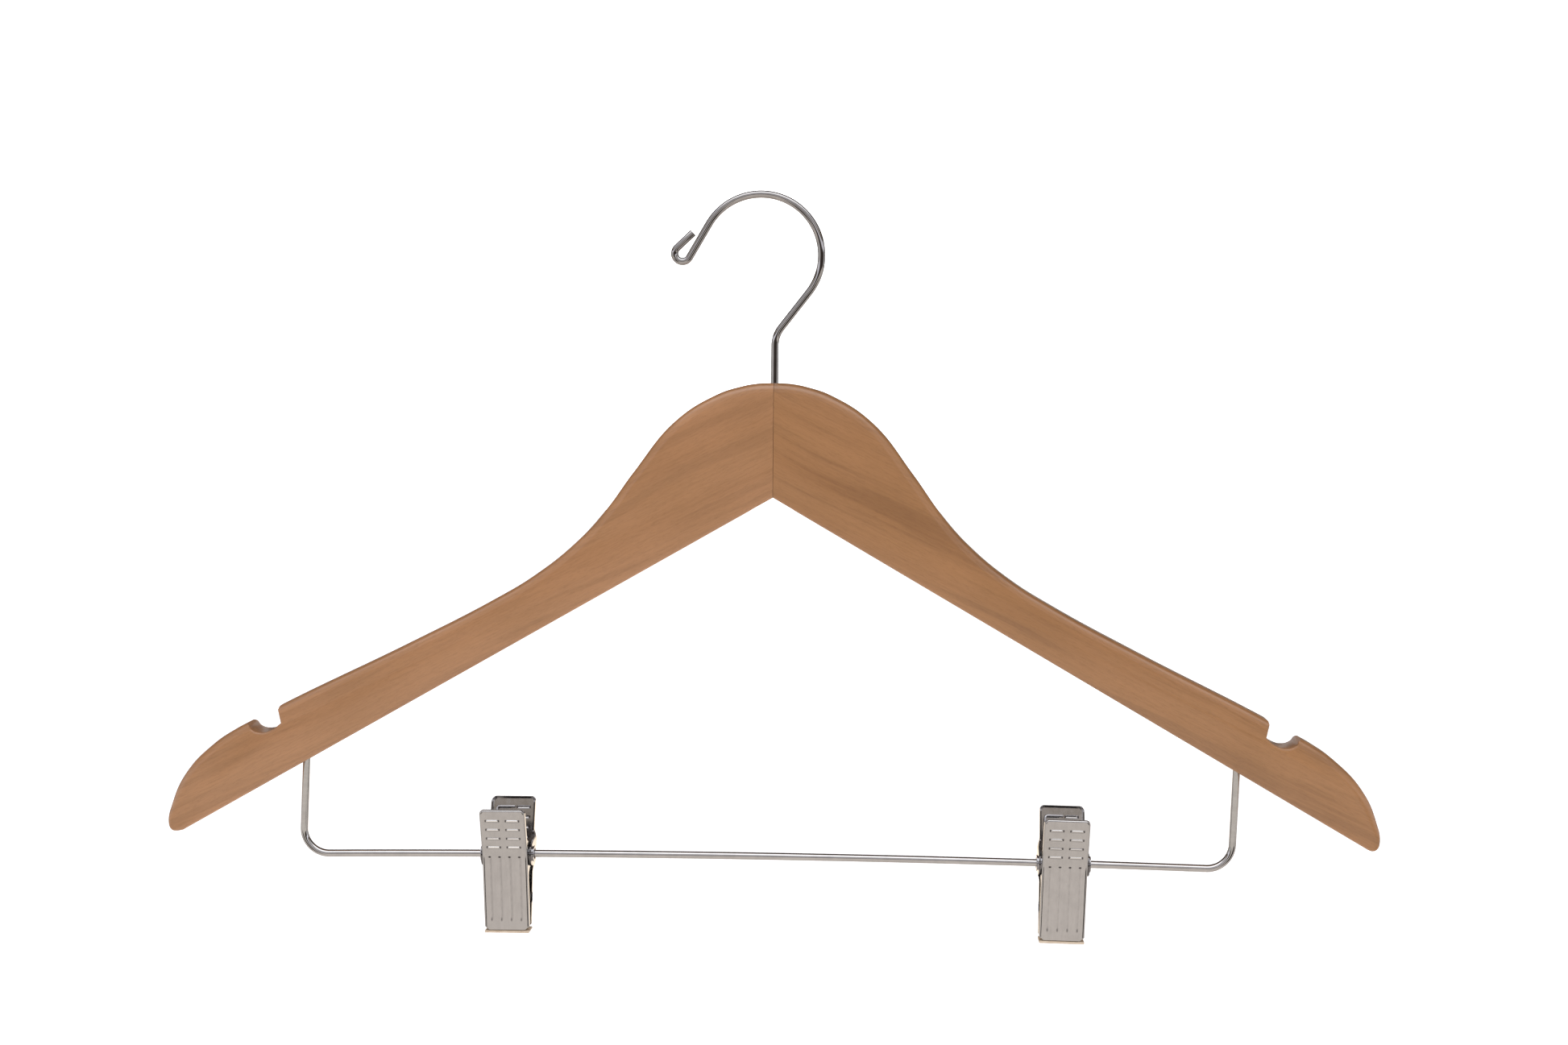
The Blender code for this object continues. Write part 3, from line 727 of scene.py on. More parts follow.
def make_arm(side_name):
    side = SIDES[side_name]
    outline = arm_outline(side_name)
    moves = [inward(before, point, after, side) for before, point, after in neighbours(outline)]
    sections = []
    for face in (-1, 1):
        rims = []
        for step in range(ROUND_STEPS + 1):
            angle = radians(90.0 * step / ROUND_STEPS)
            rim = []
            for point, move in zip(outline, moves):
                radius = rim_radius(point)
                x, z = point + move * radius * (1 - sin(angle))
                y = face * (ARM_T / 2 - radius * (1 - cos(angle)))
                rim.append((x, y, HEAD_TOP + z))
            rims.append(rim)
        sections += rims if face < 0 else reversed(rims)
    name = side_name + "_arm_wood"
    bars = [((0, 0, HEAD_TOP + HOOK_BORE_CLEAR), (0, 0, HEAD_TOP - HOOK_BORE_DEPTH), HOOK_BORE_R)]
    for depth in DOWEL_DEPTHS:
        z = HEAD_TOP - depth
        bars.append(((-DOWEL_REACH, 0, z), (DOWEL_REACH, 0, z), DOWEL_HOLE_R))
    top = (leg_x(side, LEG_TOP_DEPTH - FIT), 0, HEAD_TOP - LEG_TOP_DEPTH + FIT)
    bars.append((top, (leg_x(side, BAR_DEPTH), 0, BAR_Z), LEG_HOLE_R))
    tools = [rod_mesh(*bar) for bar in bars] + [notch_mesh(side_name)]
    mesh = carved(loft_mesh(name, sections), tools)
    return new_piece(name, mesh, WOOD[side_name], "hanger", [side_name + "_arm"])


def make_glue():
    """The glue that fills the mitre, round the hook's bore and the dowels."""
    top = HEAD_TOP - TOP_ROUND
    foot = HEAD_TOP + lower_edge(0.0) * MM + GLUE_SINK
    size = (GLUE_T, ARM_T - 2 * GLUE_SINK, top - foot)
    bm = bmesh.new()
    place = Matrix.LocRotScale(Vector((0, 0, (top + foot) / 2)), None, Vector(size))
    bmesh.ops.create_cube(bm, size=1.0, matrix=place)
    mesh = to_mesh(bm, "mitre_glue")
    tools = [rod_mesh((0, 0, HEAD_TOP), (0, 0, HEAD_TOP - HOOK_BORE_DEPTH), HOOK_BORE_R)]
    for depth in DOWEL_DEPTHS:
        z = HEAD_TOP - depth
        tools.append(rod_mesh((-GLUE_T, 0, z), (GLUE_T, 0, z), DOWEL_R + GLUE_CLEAR))
    mesh = carved(mesh, tools)
    return new_piece("mitre_glue", mesh, GLUE, "hanger", smooth=False)


# ---------------- trouser bar


def arc_move(radius, heading, turn):
    """How far an arc goes, in x and in z."""
    start, end = radians(heading), radians(heading + turn)
    return radius * (sin(end) - sin(start)), radius * (cos(start) - cos(end))


def bar_height(x):
    """The height of the bar's centreline, which bows up in its middle."""
    middle = leg_x(0, BAR_DEPTH)
    return BAR_Z + BAR_BOW * (1 - ((x - middle) / (LEG_OUT - BAR_CORNER_R)) ** 2)


def make_clip_bar():
    rise = degrees(2 * atan(BAR_BOW / (LEG_OUT - BAR_CORNER_R)))
    turns = (90.0 + LEG_LEAN + rise, 90.0 - LEG_LEAN + rise)
    first_x, first_z = arc_move(BAR_CORNER_R, 270.0 - LEG_LEAN, turns[0])
    last_x, last_z = arc_move(BAR_CORNER_R, 360.0 - rise, turns[1])
    feet = (BAR_DEPTH + first_z, BAR_DEPTH - last_z)
    legs = [(foot - LEG_TOP_DEPTH) / cos(radians(LEG_LEAN)) for foot in feet]
    chord = leg_x(1, feet[1]) - last_x - leg_x(-1, feet[0]) - first_x
    moves = [
        ("line", legs[0]),
        ("arc", BAR_CORNER_R, turns[0]),
        ("arc", chord / 2 / sin(radians(rise)), -2 * rise),
        ("arc", BAR_CORNER_R, turns[1]),
        ("line", legs[1]),
    ]
    start = (leg_x(-1, LEG_TOP_DEPTH), HEAD_TOP - LEG_TOP_DEPTH)
    points = [(x, 0.0, z) for x, z in trace(start, 270.0 - LEG_LEAN, moves)]
    mesh = tube_mesh("clip_bar_wire", points, BAR_WIRE_R, WIRE_SIDES)
    return new_piece("clip_bar_wire", mesh, BAR_CHROME, "hanger", ["clip_bar"])


# ---------------- spring clips


def sheet_out(z):
    """How far a jaw's outer face is from the bar's plane, at a height above the bar."""
    up = (SHEET_AT_HEAD - SHEET_AT_BAR) / JAW_TOP
    down = (SHEET_AT_BAR - SHEET_AT_FOOT) / -JAW_BOTTOM
    if abs(z) < BAR_BEND:
        share = (z + BAR_BEND) / (2 * BAR_BEND)
        return SHEET_AT_BAR + down * z + (up - down) * BAR_BEND * share * share
    return SHEET_AT_BAR + (up if z > 0 else down) * z


# The pressed dashes and flutes, in millimetres. Their marks are painted shade and painted
# highlight, and run from 0 to 1.
DASH_ROWS = (14.3, 10.9, 7.5, 4.1)
DASH_COLUMNS = (-3.6, 3.6)
DASH_HALF = (2.2, 0.34)
DASH_HEIGHT = 0.24
DASH_END = 0.32
DASH_REACH = (3 * DASH_END, 2.4)  # how far its marks go: beyond its ends, and in half heights
# where the painted highlight on a dash's top fades out, in half heights
DASH_HIGHLIGHT_FADE = (0.7, 1.1)
# painted shade dots at a dash's ends: strength, and where they fade, in half heights
DASH_END_SHADE = 1.5
DASH_END_SHADE_SPREAD = (0.6, 1.7)
DASH_SHADOW = (0.45, 1.35, 0.7)  # strength, drop and spread of the painted shadow line below a dash
RIB_COLUMNS = (-5.34, -1.78, 1.78, 5.34)
RIB_ENDS = (0.35, -23.6)
RIB_HALF_W = 0.9
RIB_DEPTH = 0.035
# painted shade along a flute's crease
RIB_SHADE = 0.17
RIB_END_SHADE = (((0.62, 0.42), -0.05, 2.2), ((0.42, 0.9), 0.3, 0.9))  # painted shade dots at the flutes' top and foot: size, rise, strength
# painted shade at the flanges' far edges, inside the clip
EDGE_SHADE = 0.75


def falling(value, spread):
    """1 where the value is 0, down to 0 where it is spread."""
    return 1 - min(1.0, abs(value) / spread)


def dash_marks(x, z, column, row):
    """(height, painted shade, painted highlight) of one dash."""
    along = abs(x - column) - DASH_HALF[0]
    up = (z - row) / DASH_HALF[1]
    if along > DASH_REACH[0] or abs(up) > DASH_REACH[1]:
        return 0.0, 0.0, 0.0
    inside = 1 - fade(along, -DASH_END, 0.0)
    # painted shade: dots at the dash's ends, and a shadow line below it
    end = falling(along - 0.5 * DASH_END, 1.1 * DASH_END) * (1 - fade(abs(up), *DASH_END_SHADE_SPREAD))
    strength, drop, spread = DASH_SHADOW
    below = falling(up + drop, spread) * inside
    height = DASH_HEIGHT * sqrt(max(0.0, 1 - up * up)) * inside
    painted_shade = max(min(1.0, DASH_END_SHADE * end), strength * below)
    return height, painted_shade, inside * (1 - fade(abs(up), *DASH_HIGHLIGHT_FADE))


def flute_marks(x, z, column):
    """(height, painted shade) of one flute."""
    top, foot = RIB_ENDS
    off = (x - column) / RIB_HALF_W
    if abs(off) >= 1.0:
        return 0.0, 0.0
    lengthways = fade(z, foot - 0.1, foot + 0.7) * (1 - fade(z, top - 0.5, top))
    uneven = 0.7 + 0.3 * sin(2.1 * z + 5.0 * column)
    # painted shade along the crease, and dots at the flute's ends
    painted_shade = RIB_SHADE * uneven * falling(off - 0.1, 0.4) * lengthways
    for end, (size, rise, strength) in zip(RIB_ENDS, RIB_END_SHADE):
        dot = max(0.0, 1 - hypot((x - column) / size[0], (z - end - rise) / size[1]))
        painted_shade = max(painted_shade, min(1.0, strength * dot))
    return -RIB_DEPTH * (0.5 + 0.5 * cos(pi * off)) * lengthways, painted_shade


def emboss(x, z):
    """(height in millimetres, painted shade, painted highlight) of the pressed marks at a place on
    a jaw's face.
    """
    marks = [dash_marks(x, z, column, row) for column in DASH_COLUMNS for row in DASH_ROWS]
    if z < RIB_ENDS[0] + 0.8:
        marks += [(*flute_marks(x, z, column), 0.0) for column in RIB_COLUMNS]
    heights, painted_shades, painted_highlights = zip(*marks)
    return sum(heights), max(painted_shades), max(painted_highlights)


FOOT_RELIEF = (0.9 * MM, 3.0 * MM)  # how much the flange narrows at the foot, and over what height
NOTCH_SPAN = ((-18.7 * MM, -18.2 * MM), (-15.4 * MM, -14.9 * MM))
NOTCH_LEFT = 0.1 * MM
EAR_SPAN = (3.0 * MM, 7.0 * MM)
EAR_SPREAD = (3.6 * MM, 7.6 * MM)
FOOT_CHAMFER = (1.1 * MM, 5.0 * MM)  # its height, and how far out it starts
# where on a flange, in millimetres past its fold, the painted shade at its far edge starts and is
# full
EDGE_SHADE_SPAN = (0.7, 1.0)


def flange_edge(z, notch):
    """Where a side flange's edge is, out from the bar's plane on the jaw's own side."""
    straight = sheet_out(z) - FLANGE
    relief, height = FOOT_RELIEF
    if z < JAW_BOTTOM + height:
        straight = sheet_out(z) - FLANGE + relief * fade(-z, -JAW_BOTTOM - height, -JAW_BOTTOM)
    if notch:
        inside = fade(z, *NOTCH_SPAN[0]) * (1 - fade(z, *NOTCH_SPAN[1]))
        straight += (FLANGE - FOLD_R - NOTCH_LEFT) * inside
    ear = -sqrt(max(0.0, EAR_R**2 - z * z))
    return ear + (straight - ear) * fade(abs(z), *EAR_SPAN)


FLAT_STEPS = 40
FOLD_STEPS = 5
FLANGE_STEPS = (8, 4)  # in a side flange and in the top one
FOOT_ROWS = 18
ROW_STEPS = (0.25 * MM, 0.7 * MM, 0.125 * MM)  # at the foot, over the flutes and over the dashes
GRIP_FOOT = -1.2 * MM


def jaw_columns():
    """Unfolded places across a jaw, from one flange's edge to the other's."""
    flat = JAW_HALF_W - FOLD_R
    folded = flat + FOLD_R * pi / 2
    half = [flat * step / FLAT_STEPS for step in range(1, FLAT_STEPS + 1)]
    half += [flat + FOLD_R * pi / 2 * step / FOLD_STEPS for step in range(1, FOLD_STEPS + 1)]
    half += [folded + step / FLANGE_STEPS[0] * MM for step in range(1, FLANGE_STEPS[0] + 1)]
    return [-x for x in reversed(half)] + [0.0] + half


def jaw_rows():
    """Unfolded places up a jaw, from its foot to the edge of its top flange."""
    flat = JAW_TOP - FOLD_R
    folded = flat + FOLD_R * pi / 2
    foot_step, plain_step, grip_step = ROW_STEPS
    rows = [JAW_BOTTOM + foot_step * step for step in range(FOOT_ROWS)]
    while rows[-1] < GRIP_FOOT:
        rows.append(rows[-1] + plain_step)
    while rows[-1] < flat - 0.12 * MM:
        rows.append(rows[-1] + grip_step)
    rows.append(flat)
    rows += [flat + FOLD_R * pi / 2 * step / FOLD_STEPS for step in range(1, FOLD_STEPS + 1)]
    return rows + [folded + step / FLANGE_STEPS[1] * MM for step in range(1, FLANGE_STEPS[1] + 1)]


def fold(reach):
    """(distance out in the sheet's plane, drop, share of the flange) at an unfolded distance.

    Distances are from the centre of the jaw's rounded corner.
    """
    flat = CORNER_R - FOLD_R
    if reach <= flat:
        return reach, 0.0, 0.0
    if reach <= flat + FOLD_R * pi / 2:
        angle = (reach - flat) / FOLD_R
        return flat + FOLD_R * sin(angle), FOLD_R * (1 - cos(angle)), 0.0
    return CORNER_R, FOLD_R, (reach - flat - FOLD_R * pi / 2) / MM


def jaw_mesh(name, side, jog, notch, highlight_strength):
    """One pressed jaw: a folded sheet with pressed grip bars, flutes, ears and a rolled top.

    Its vertices say where shade is painted on it and where a highlight is painted on its dashes.
    """
    columns, rows = jaw_columns(), jaw_rows()
    centre_x, centre_z = JAW_HALF_W - CORNER_R, JAW_TOP - CORNER_R
    bm = bmesh.new()
    layers = [bm.verts.layers.float.new(mark) for mark in ("painted_shade", "painted_highlight")]
    grid = []
    for pz in rows:
        line = []
        for px in columns:
            a, b = abs(px) - centre_x, pz - centre_z
            sign = copysign(1.0, px)
            if a > 0 and b > 0:
                inplane, drop, share = fold(max(a, b))
                length = hypot(a, b)
                x, z = centre_x + inplane * a / length, centre_z + inplane * b / length
                depth = TOP_FLANGE + (FLANGE - TOP_FLANGE) * a / (a + b)
            elif b > 0 and b > a:
                inplane, drop, share = fold(b)
                x, z = abs(px), centre_z + inplane
                depth = TOP_FLANGE
            elif a > 0:
                inplane, drop, share = fold(a)
                x, z = centre_x + inplane, pz
                depth = sheet_out(z) - flange_edge(z, notch)
            else:
                drop, share, depth = 0.0, 0.0, FLANGE
                x, z = abs(px), pz
            chamfer = max(0.0, JAW_BOTTOM + FOOT_CHAMFER[0] - z)
            chamfer *= fade(x, FOOT_CHAMFER[1], JAW_HALF_W)
            ear = 1 - fade(abs(z), *EAR_SPREAD)
            x = (x - chamfer) * (1 + ear * jog / JAW_HALF_W)
            flat = drop == 0.0 and share == 0.0
            height, *marks = emboss(sign * x / MM, z / MM) if flat else (0.0, 0.0, 0.0)
            drop += share * max(0.0, depth - FOLD_R)
            vert = bm.verts.new((sign * x, side * (sheet_out(z) - drop + height * MM), z))
            # painted shade at the flanges' far edges
            marks[0] = max(marks[0], EDGE_SHADE * fade(share, *EDGE_SHADE_SPAN))
            # this clip's strength of painted highlight on its dashes
            marks[1] *= highlight_strength
            for layer, mark in zip(layers, marks):
                vert[layer] = mark
            line.append(vert)
        grid.append(line)
    for low, high in zip(grid, grid[1:]):
        for i in range(len(low) - 1):
            bm.faces.new((low[i], low[i + 1], high[i + 1], high[i]))
    bmesh.ops.recalc_face_normals(bm, faces=bm.faces)
    front = Vector((0, side * SHEET_AT_FOOT, JAW_BOTTOM / 2))
    middle = min(bm.faces, key=lambda face: (face.calc_center_median() - front).length)
    if middle.normal.y * side < 0:
        bmesh.ops.reverse_faces(bm, faces=bm.faces)
    mesh = bpy.data.meshes.new(name)
    bm.to_mesh(mesh)
    bm.free()
    solid = ("SOLIDIFY", {"thickness": SHEET_T, "offset": -1.0, "use_even_offset": False})
    mesh = applied(mesh, solid)
    reach = JAW_HALF_W + EAR_JOG + 1 * MM
    return carved(mesh, [rod_mesh((-reach, 0, 0), (reach, 0, 0), TUBE_R + FIT / 2)])


def pad_mesh(name, side):
    """A moulded strip inside a jaw's foot, with a lip below it and ridges on its gripping face.

    A station is (height, half width, outer face, how far the gripping face is set back).
    """
    inset = SHEET_T + FIT
    lip_top = JAW_BOTTOM - FIT
    body_foot = JAW_BOTTOM + 1 * MM
    stations = [
        (lip_top - PAD_LIP, JAW_HALF_W - 0.5 * MM, SHEET_AT_FOOT - 0.35 * MM, 0.3 * MM),
        (lip_top - PAD_LIP * 0.85, JAW_HALF_W - 0.15 * MM, SHEET_AT_FOOT - 0.08 * MM, 0.05 * MM),
        (lip_top - PAD_LIP * 0.6, JAW_HALF_W, SHEET_AT_FOOT, 0.0),
        (lip_top - 0.12 * MM, JAW_HALF_W, SHEET_AT_FOOT, 0.0),
        (lip_top, JAW_HALF_W - 0.1 * MM, SHEET_AT_FOOT - 0.1 * MM, 0.0),
        (lip_top + 0.02 * MM, JAW_HALF_W - inset - 1 * MM, SHEET_AT_FOOT - inset, 0.0),
        (body_foot, JAW_HALF_W - inset, sheet_out(body_foot) - inset, 0.0),
    ]
    z = JAW_BOTTOM + 1.3 * MM
    index = 0
    while z < PAD_TOP - PAD_ROUND:
        ridge = PAD_RIDGES[index % len(PAD_RIDGES)] * MM
        stations.append((z, JAW_HALF_W - inset, sheet_out(z) - inset, ridge))
        z += PAD_RIDGE_STEP
        index += 1
    outer = sheet_out(PAD_TOP) - inset - PAD_ROUND
    stations.append((PAD_TOP, JAW_HALF_W - inset - PAD_ROUND, outer, 2 * PAD_ROUND))
    bm = bmesh.new()
    rings = []
    for z, half, outer, back in stations:
        near = PAD_GAP + back
        corners = ((half, near), (half, outer), (-half, outer), (-half, near))
        rings.append([bm.verts.new((x, side * y, z)) for x, y in corners])
    skin(bm, rings)
    bevel = {"width": PAD_BEVEL, "segments": 2, "angle_limit": radians(60)}
    return applied(to_mesh(bm, name), ("BEVEL", bevel))


def spring_points():
    """(rear leg, coil, front leg) of a torsion spring's centreline, in the clip's own frame."""
    leg_y, leg_z = SPRING_LEG
    reach = hypot(leg_y, leg_z)
    touch = atan2(leg_z, leg_y) - acos(SPRING_R / reach)
    sweep = -(2 * pi * SPRING_TURNS + pi + 2 * touch)
    steps = SPRING_TURNS * SPRING_TURN_STEPS
    coil = []
    for step in range(steps + 1):
        share = step / steps
        angle = touch + sweep * share
        x = SPRING_HALF_L * (2 * share - 1)
        coil.append((x, SPRING_R * cos(angle), SPRING_R * sin(angle)))
    along = Vector((0, leg_y - coil[0][1], leg_z - coil[0][2])).normalized()
    corner = Vector((-SPRING_HALF_L, leg_y, leg_z))
    bend = []
    for angle in SPRING_BEND_ANGLES:
        sideways = Vector((SPRING_BEND_R * (1 - cos(angle)), 0, 0))
        bend.append(corner - along * SPRING_BEND_R * (1 - sin(angle)) + sideways)
    start = Vector(coil[0])
    straight = [start.lerp(bend[0], share) for share in (0.0, 0.25, 0.5, 0.75)]
    rear = [tuple(point) for point in straight + bend]
    rear += [(-SPRING_HALF_L + SPRING_END * share, leg_y, leg_z) for share in (0.6, 1)]
    front = [(-x, -y, z) for x, y, z in rear]
    return rear, coil, front


def tube_profile():
    """The pivot tube's closed profile, (radius, place along it), with rounded rims."""
    length, shoulder = TUBE_HALF_L, TUBE_HALF_L - TUBE_RIM_T
    right = [(TUBE_R, shoulder), (TUBE_RIM_R - TUBE_RIM_ROUND / 2, shoulder)]
    centre = (TUBE_RIM_R - TUBE_RIM_ROUND, length - TUBE_RIM_ROUND)
    for lean in (radians(angle) for angle in (-60, -20, 20, 60)):
        radius = centre[0] + TUBE_RIM_ROUND * cos(lean)
        right.append((radius, centre[1] + TUBE_RIM_ROUND * sin(lean)))
    right += [(TUBE_BORE_R + TUBE_CHAMFER, length), (TUBE_BORE_R, length - TUBE_CHAMFER)]
    left = [(radius, -place) for radius, place in reversed(right)]
    return right + left


def make_clip(side_name):
    x, lean = CLIPS[side_name]
    place = Matrix.Translation((x, 0, bar_height(x))) @ Matrix.Rotation(radians(lean), 4, "Y")

    def placed(name, mesh, material, body, slot, *replaced, matrix=place):
        mesh.transform(matrix)
        return new_piece(name, mesh, material, body, replaced)

    for end, side, jog in (("rear", 1, EAR_JOG), ("front", -1, 0.0)):
        body = f"{side_name}_{end}"
        name = body + "_jaw_plate"
        mesh = jaw_mesh(name, side, jog, end == "rear", DASH_HIGHLIGHT_STRENGTH[side_name])
        placed(name, mesh, CLIP_STEEL, body, "clip_steel", body + "_jaw")
        name = body + "_pad_strip"
        placed(name, pad_mesh(name, side), PAD, body, "pad_rubber", body + "_pad")
    name = side_name + "_pivot_barrel"
    mesh = turned_mesh(name, tube_profile())
    body, node = side_name + "_pivot", side_name + "_pivot_tube"
    lying = place @ Matrix.Rotation(radians(90), 4, "Y")
    placed(name, mesh, SPRING_STEEL, body, "spring_steel", node, matrix=lying)
    rear, coil, front = spring_points()
    for end, points in (("rear", rear), ("front", front)):
        name = f"{side_name}_spring_{end}_leg"
        mesh = tube_mesh(name, points, SPRING_WIRE_R, SPRING_SIDES)
        body, node = f"{side_name}_{end}", side_name + "_spring"
        placed(name, mesh, SPRING_STEEL, body, "spring_steel", node)
    name = side_name + "_spring_coil"
    mesh = tube_mesh(name, coil, SPRING_WIRE_R, SPRING_SIDES)
    piece = placed(name, mesh, SPRING_STEEL, None, "spring_steel")
    start, end = (tuple(place @ Vector((x, 0, 0))) for x in (-SPRING_HALF_L, SPRING_HALF_L))
    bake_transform(piece)


make_hook()
for side_name in SIDES:
    make_arm(side_name)
make_glue()
make_clip_bar()
for side_name in SIDES:
    make_clip(side_name)
CARRIED_OVER = {"swivel_sleeve": BRASS, "upper_dowel": DOWEL_WOOD, "lower_dowel": DOWEL_WOOD}
for node_name, material in CARRIED_OVER.items():
    for material_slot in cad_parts[node_name].material_slots:
        material_slot.material = material

# ---------------- camera

CAMERA_DISTANCE = 0.700
CAMERA_AZIMUTH = -1.837
CAMERA_ELEVATION = 2.5
CAMERA_ROLL = 0.560
CAMERA_TARGET = (0.01801, 0.0, -0.09443)
FOCAL_PIXELS = 2432.4
IMAGE_WIDTH = 1946
SENSOR_WIDTH = 36.0
CLIP_START = 0.01
SHIFT_PIXELS = (50.0, -70.0)


def make_camera():
    angles = (CAMERA_AZIMUTH, CAMERA_ELEVATION, CAMERA_ROLL)
    azimuth, elevation, roll = (radians(angle) for angle in angles)
    level = cos(elevation)
    forward = Vector((sin(azimuth) * level, cos(azimuth) * level, -sin(elevation)))
    right = Vector((cos(azimuth), -sin(azimuth), 0.0))
    up = right.cross(forward)
    right, up = right * cos(roll) + up * sin(roll), up * cos(roll) - right * sin(roll)
    data = bpy.data.cameras.new("camera")
    data.sensor_width = SENSOR_WIDTH
    data.lens = FOCAL_PIXELS * SENSOR_WIDTH / IMAGE_WIDTH
    data.shift_x = -SHIFT_PIXELS[0] / IMAGE_WIDTH
    data.shift_y = SHIFT_PIXELS[1] / IMAGE_WIDTH
    data.clip_start = CLIP_START
    camera = new_object("camera", data)
    basis = Matrix((right, up, -forward)).transposed().to_4x4()
    place = Vector(CAMERA_TARGET) - forward * CAMERA_DISTANCE
    camera.matrix_world = Matrix.Translation(place) @ basis
    bpy.context.scene.camera = camera


make_camera()

# ---------------- studio

# Light by direction. The skies run from the bottom to the top of the room's front and back halves.
# The horizon runs once round the room from behind, and the front is in its middle.
FRONT_SKY = (
    (0.00, (0.80, 0.73, 0.67)),
    (0.30, (0.87, 0.79, 0.735)),
    (0.435, (0.80, 0.74, 0.68)),
    (0.455, (0.05, 0.04, 0.035)),
    (0.545, (0.09, 0.075, 0.07)),
    (0.570, (1.15, 1.13, 1.22)),
    (0.635, (1.10, 1.08, 1.16)),
    (0.655, (0.14, 0.11, 0.09)),
    (0.695, (0.34, 0.29, 0.25)),
    (0.715, (0.72, 0.64, 0.56)),
    (0.740, (0.60, 0.58, 0.60)),
    (0.840, (0.90, 0.90, 0.95)),
    (0.870, (1.9, 1.9, 1.95)),
    (1.00, (1.9, 1.9, 1.95)),
)
BACK_SKY = (
    (0.00, (0.80, 0.73, 0.67)),
    (0.25, (0.60, 0.55, 0.51)),
    (0.50, (0.52, 0.48, 0.45)),
    (0.60, (0.55, 0.54, 0.54)),
    (0.65, (0.09, 0.07, 0.06)),
    (1.00, (0.13, 0.10, 0.09)),
)
HORIZON = (
    (0.00, (0.55, 0.54, 0.54)),
    (0.020, (0.55, 0.54, 0.54)),
    (0.050, (0.10, 0.085, 0.075)),
    (0.16, (0.10, 0.085, 0.075)),
    (0.200, (0.78, 0.76, 0.75)),
    (0.385, (0.68, 0.65, 0.64)),
    (0.43, (0.07, 0.055, 0.048)),
    (0.66, (0.07, 0.055, 0.048)),
    (0.700, (0.72, 0.70, 0.70)),
    (0.84, (0.62, 0.60, 0.60)),
    (0.875, (0.14, 0.12, 0.11)),
    (0.965, (0.14, 0.12, 0.11)),
    (0.985, (0.55, 0.54, 0.54)),
)
# Two dark flags below the camera's level, to its left and right.
FLAG_BEARINGS = (
    (0.34, 0.0),
    (0.36, 1.0),
    (0.435, 1.0),
    (0.445, 0.0),
    (0.550, 0.0),
    (0.560, 1.0),
    (0.670, 1.0),
    (0.690, 0.0),
)
FLAG_LEVELS = ((0.18, 0.0), (0.20, 1.0), (0.365, 1.0), (0.380, 0.0))
FLAG_COLOUR = (0.045, 0.038, 0.035)
# A warm glow low behind the hanger.
GLOW_BEARINGS = ((0.05, 1.0), (0.07, 0.0), (0.93, 0.0), (0.95, 1.0))
GLOW_LEVELS = ((0.31, 0.0), (0.33, 1.0), (0.43, 1.0), (0.45, 0.0))
GLOW_COLOUR = (1.55, 1.30, 1.05)
BELT_LEVELS = ((0.44, 0.0), (0.46, 1.0), (0.55, 1.0), (0.58, 0.0))
HALVES_BLEND = 0.10


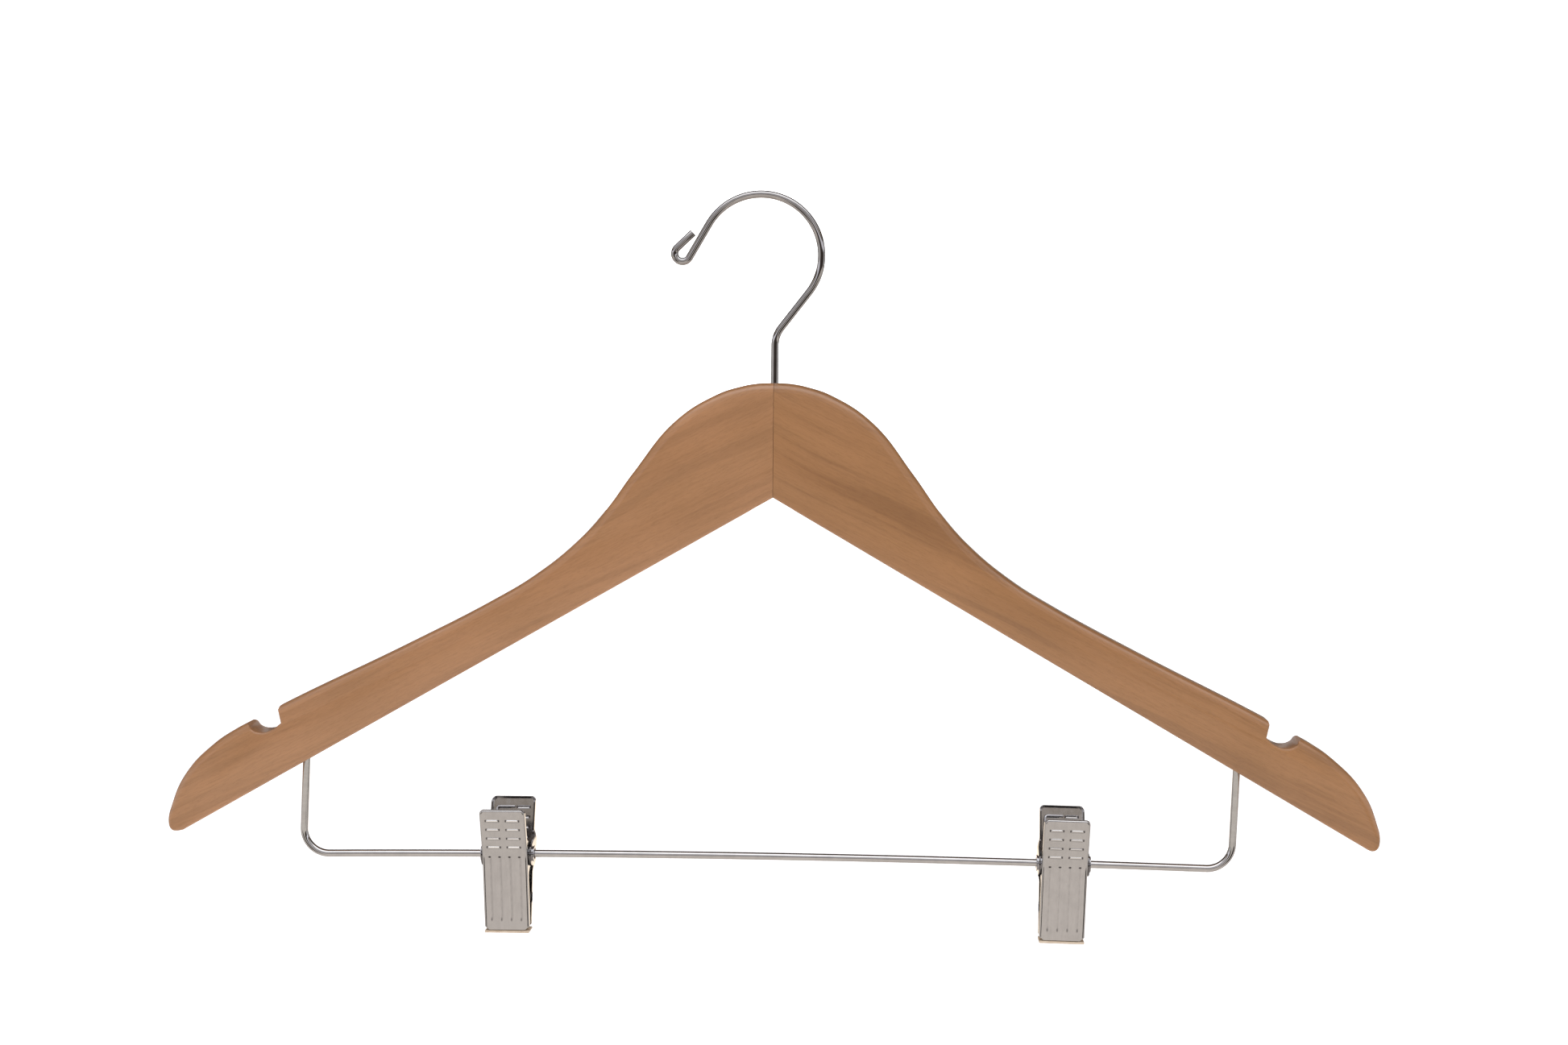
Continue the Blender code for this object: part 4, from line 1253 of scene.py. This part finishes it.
def make_world():
    world = bpy.data.worlds.new("studio")
    world.use_nodes = True
    tree = world.node_tree
    texture = add(tree, "TexCoord")
    split = add(tree, "SeparateXYZ")
    link(tree, texture, "Generated", split, "Vector")
    level = add(tree, "Math", operation="MULTIPLY_ADD")
    level.inputs[1].default_value = level.inputs[2].default_value = 0.5
    link(tree, split, "Z", level, 0)
    front = ramp(tree, level, "Value", FRONT_SKY)
    back = ramp(tree, level, "Value", BACK_SKY)
    behind = add(tree, "MapRange", in_From_Min=-HALVES_BLEND, in_From_Max=HALVES_BLEND)
    behind.interpolation_type = "SMOOTHSTEP"
    link(tree, split, "Y", behind, "Value")
    room = blend_colours(tree, "MIX", (behind, "Result"), (front, "Color"), (back, "Color"))
    backwards = math_node(tree, "MULTIPLY", (split, "Y"), -1.0)
    bearing = math_node(tree, "ARCTAN2", (split, "X"), (backwards, "Value"))
    turn = add(tree, "Math", operation="MULTIPLY_ADD")
    turn.inputs[1].default_value = 0.5 / pi
    turn.inputs[2].default_value = 0.5
    link(tree, bearing, "Value", turn, 0)
    horizon = ramp(tree, turn, "Value", HORIZON)
    belt = grey_ramp(tree, level, "Value", BELT_LEVELS)
    light = blend_colours(tree, "MIX", (belt, "Color"), (room, MIXED), (horizon, "Color"))
    for bearings, levels, colour in (
        (FLAG_BEARINGS, FLAG_LEVELS, FLAG_COLOUR),
        (GLOW_BEARINGS, GLOW_LEVELS, GLOW_COLOUR),
    ):
        across = grey_ramp(tree, turn, "Value", bearings)
        upright = grey_ramp(tree, level, "Value", levels)
        patch = math_node(tree, "MULTIPLY", (across, "Color"), (upright, "Color"))
        light = blend_colours(tree, "MIX", (patch, "Value"), (light, MIXED), colour)
    link(tree, light, MIXED, tree.nodes["Background"], "Color")
    bpy.context.scene.world = world


def stage_material(name, colour, glow):
    material, tree, shader = node_tree(name)
    grain = noise(tree, coordinates(tree), 40.0)
    tone = ramp(tree, grain, "Fac", ((0.3, tuple(c * 0.99 for c in colour)), (0.7, colour)))
    link(tree, tone, "Color", shader, "Base Color")
    shader.inputs["Roughness"].default_value = 0.9
    shader.inputs["Emission Color"].default_value = (1, 1, 1, 1)
    shader.inputs["Emission Strength"].default_value = glow
    return material


FLOOR_HEIGHT = -0.5
FLOOR_HALF = 6.0
BACKDROP_R = 5.9
CAMERA_ONLY = ("visible_diffuse", "visible_glossy", "visible_transmission", "visible_shadow")


def stage_piece(name, bm, material):
    mesh = bpy.data.meshes.new(name)
    bm.to_mesh(mesh)
    bm.free()
    mesh.materials.append(material)
    return new_object(name, mesh)


def make_stage():
    bm = bmesh.new()
    place = Matrix.Translation((0, 0, FLOOR_HEIGHT))
    bmesh.ops.create_grid(bm, x_segments=8, y_segments=8, size=FLOOR_HALF, matrix=place)
    floor = stage_piece("floor", bm, stage_material("floor_white", (0.92, 0.92, 0.92), 0.55))
    floor.visible_glossy = False
    bm = bmesh.new()
    bmesh.ops.create_icosphere(bm, subdivisions=4, radius=BACKDROP_R)
    white = stage_material("backdrop_white", (0.9, 0.9, 0.9), 1.2)
    backdrop = stage_piece("backdrop", bm, white)
    for attribute in CAMERA_ONLY:
        setattr(backdrop, attribute, False)


make_world()
make_stage()
bpy.context.scene.view_settings.view_transform = "Standard"
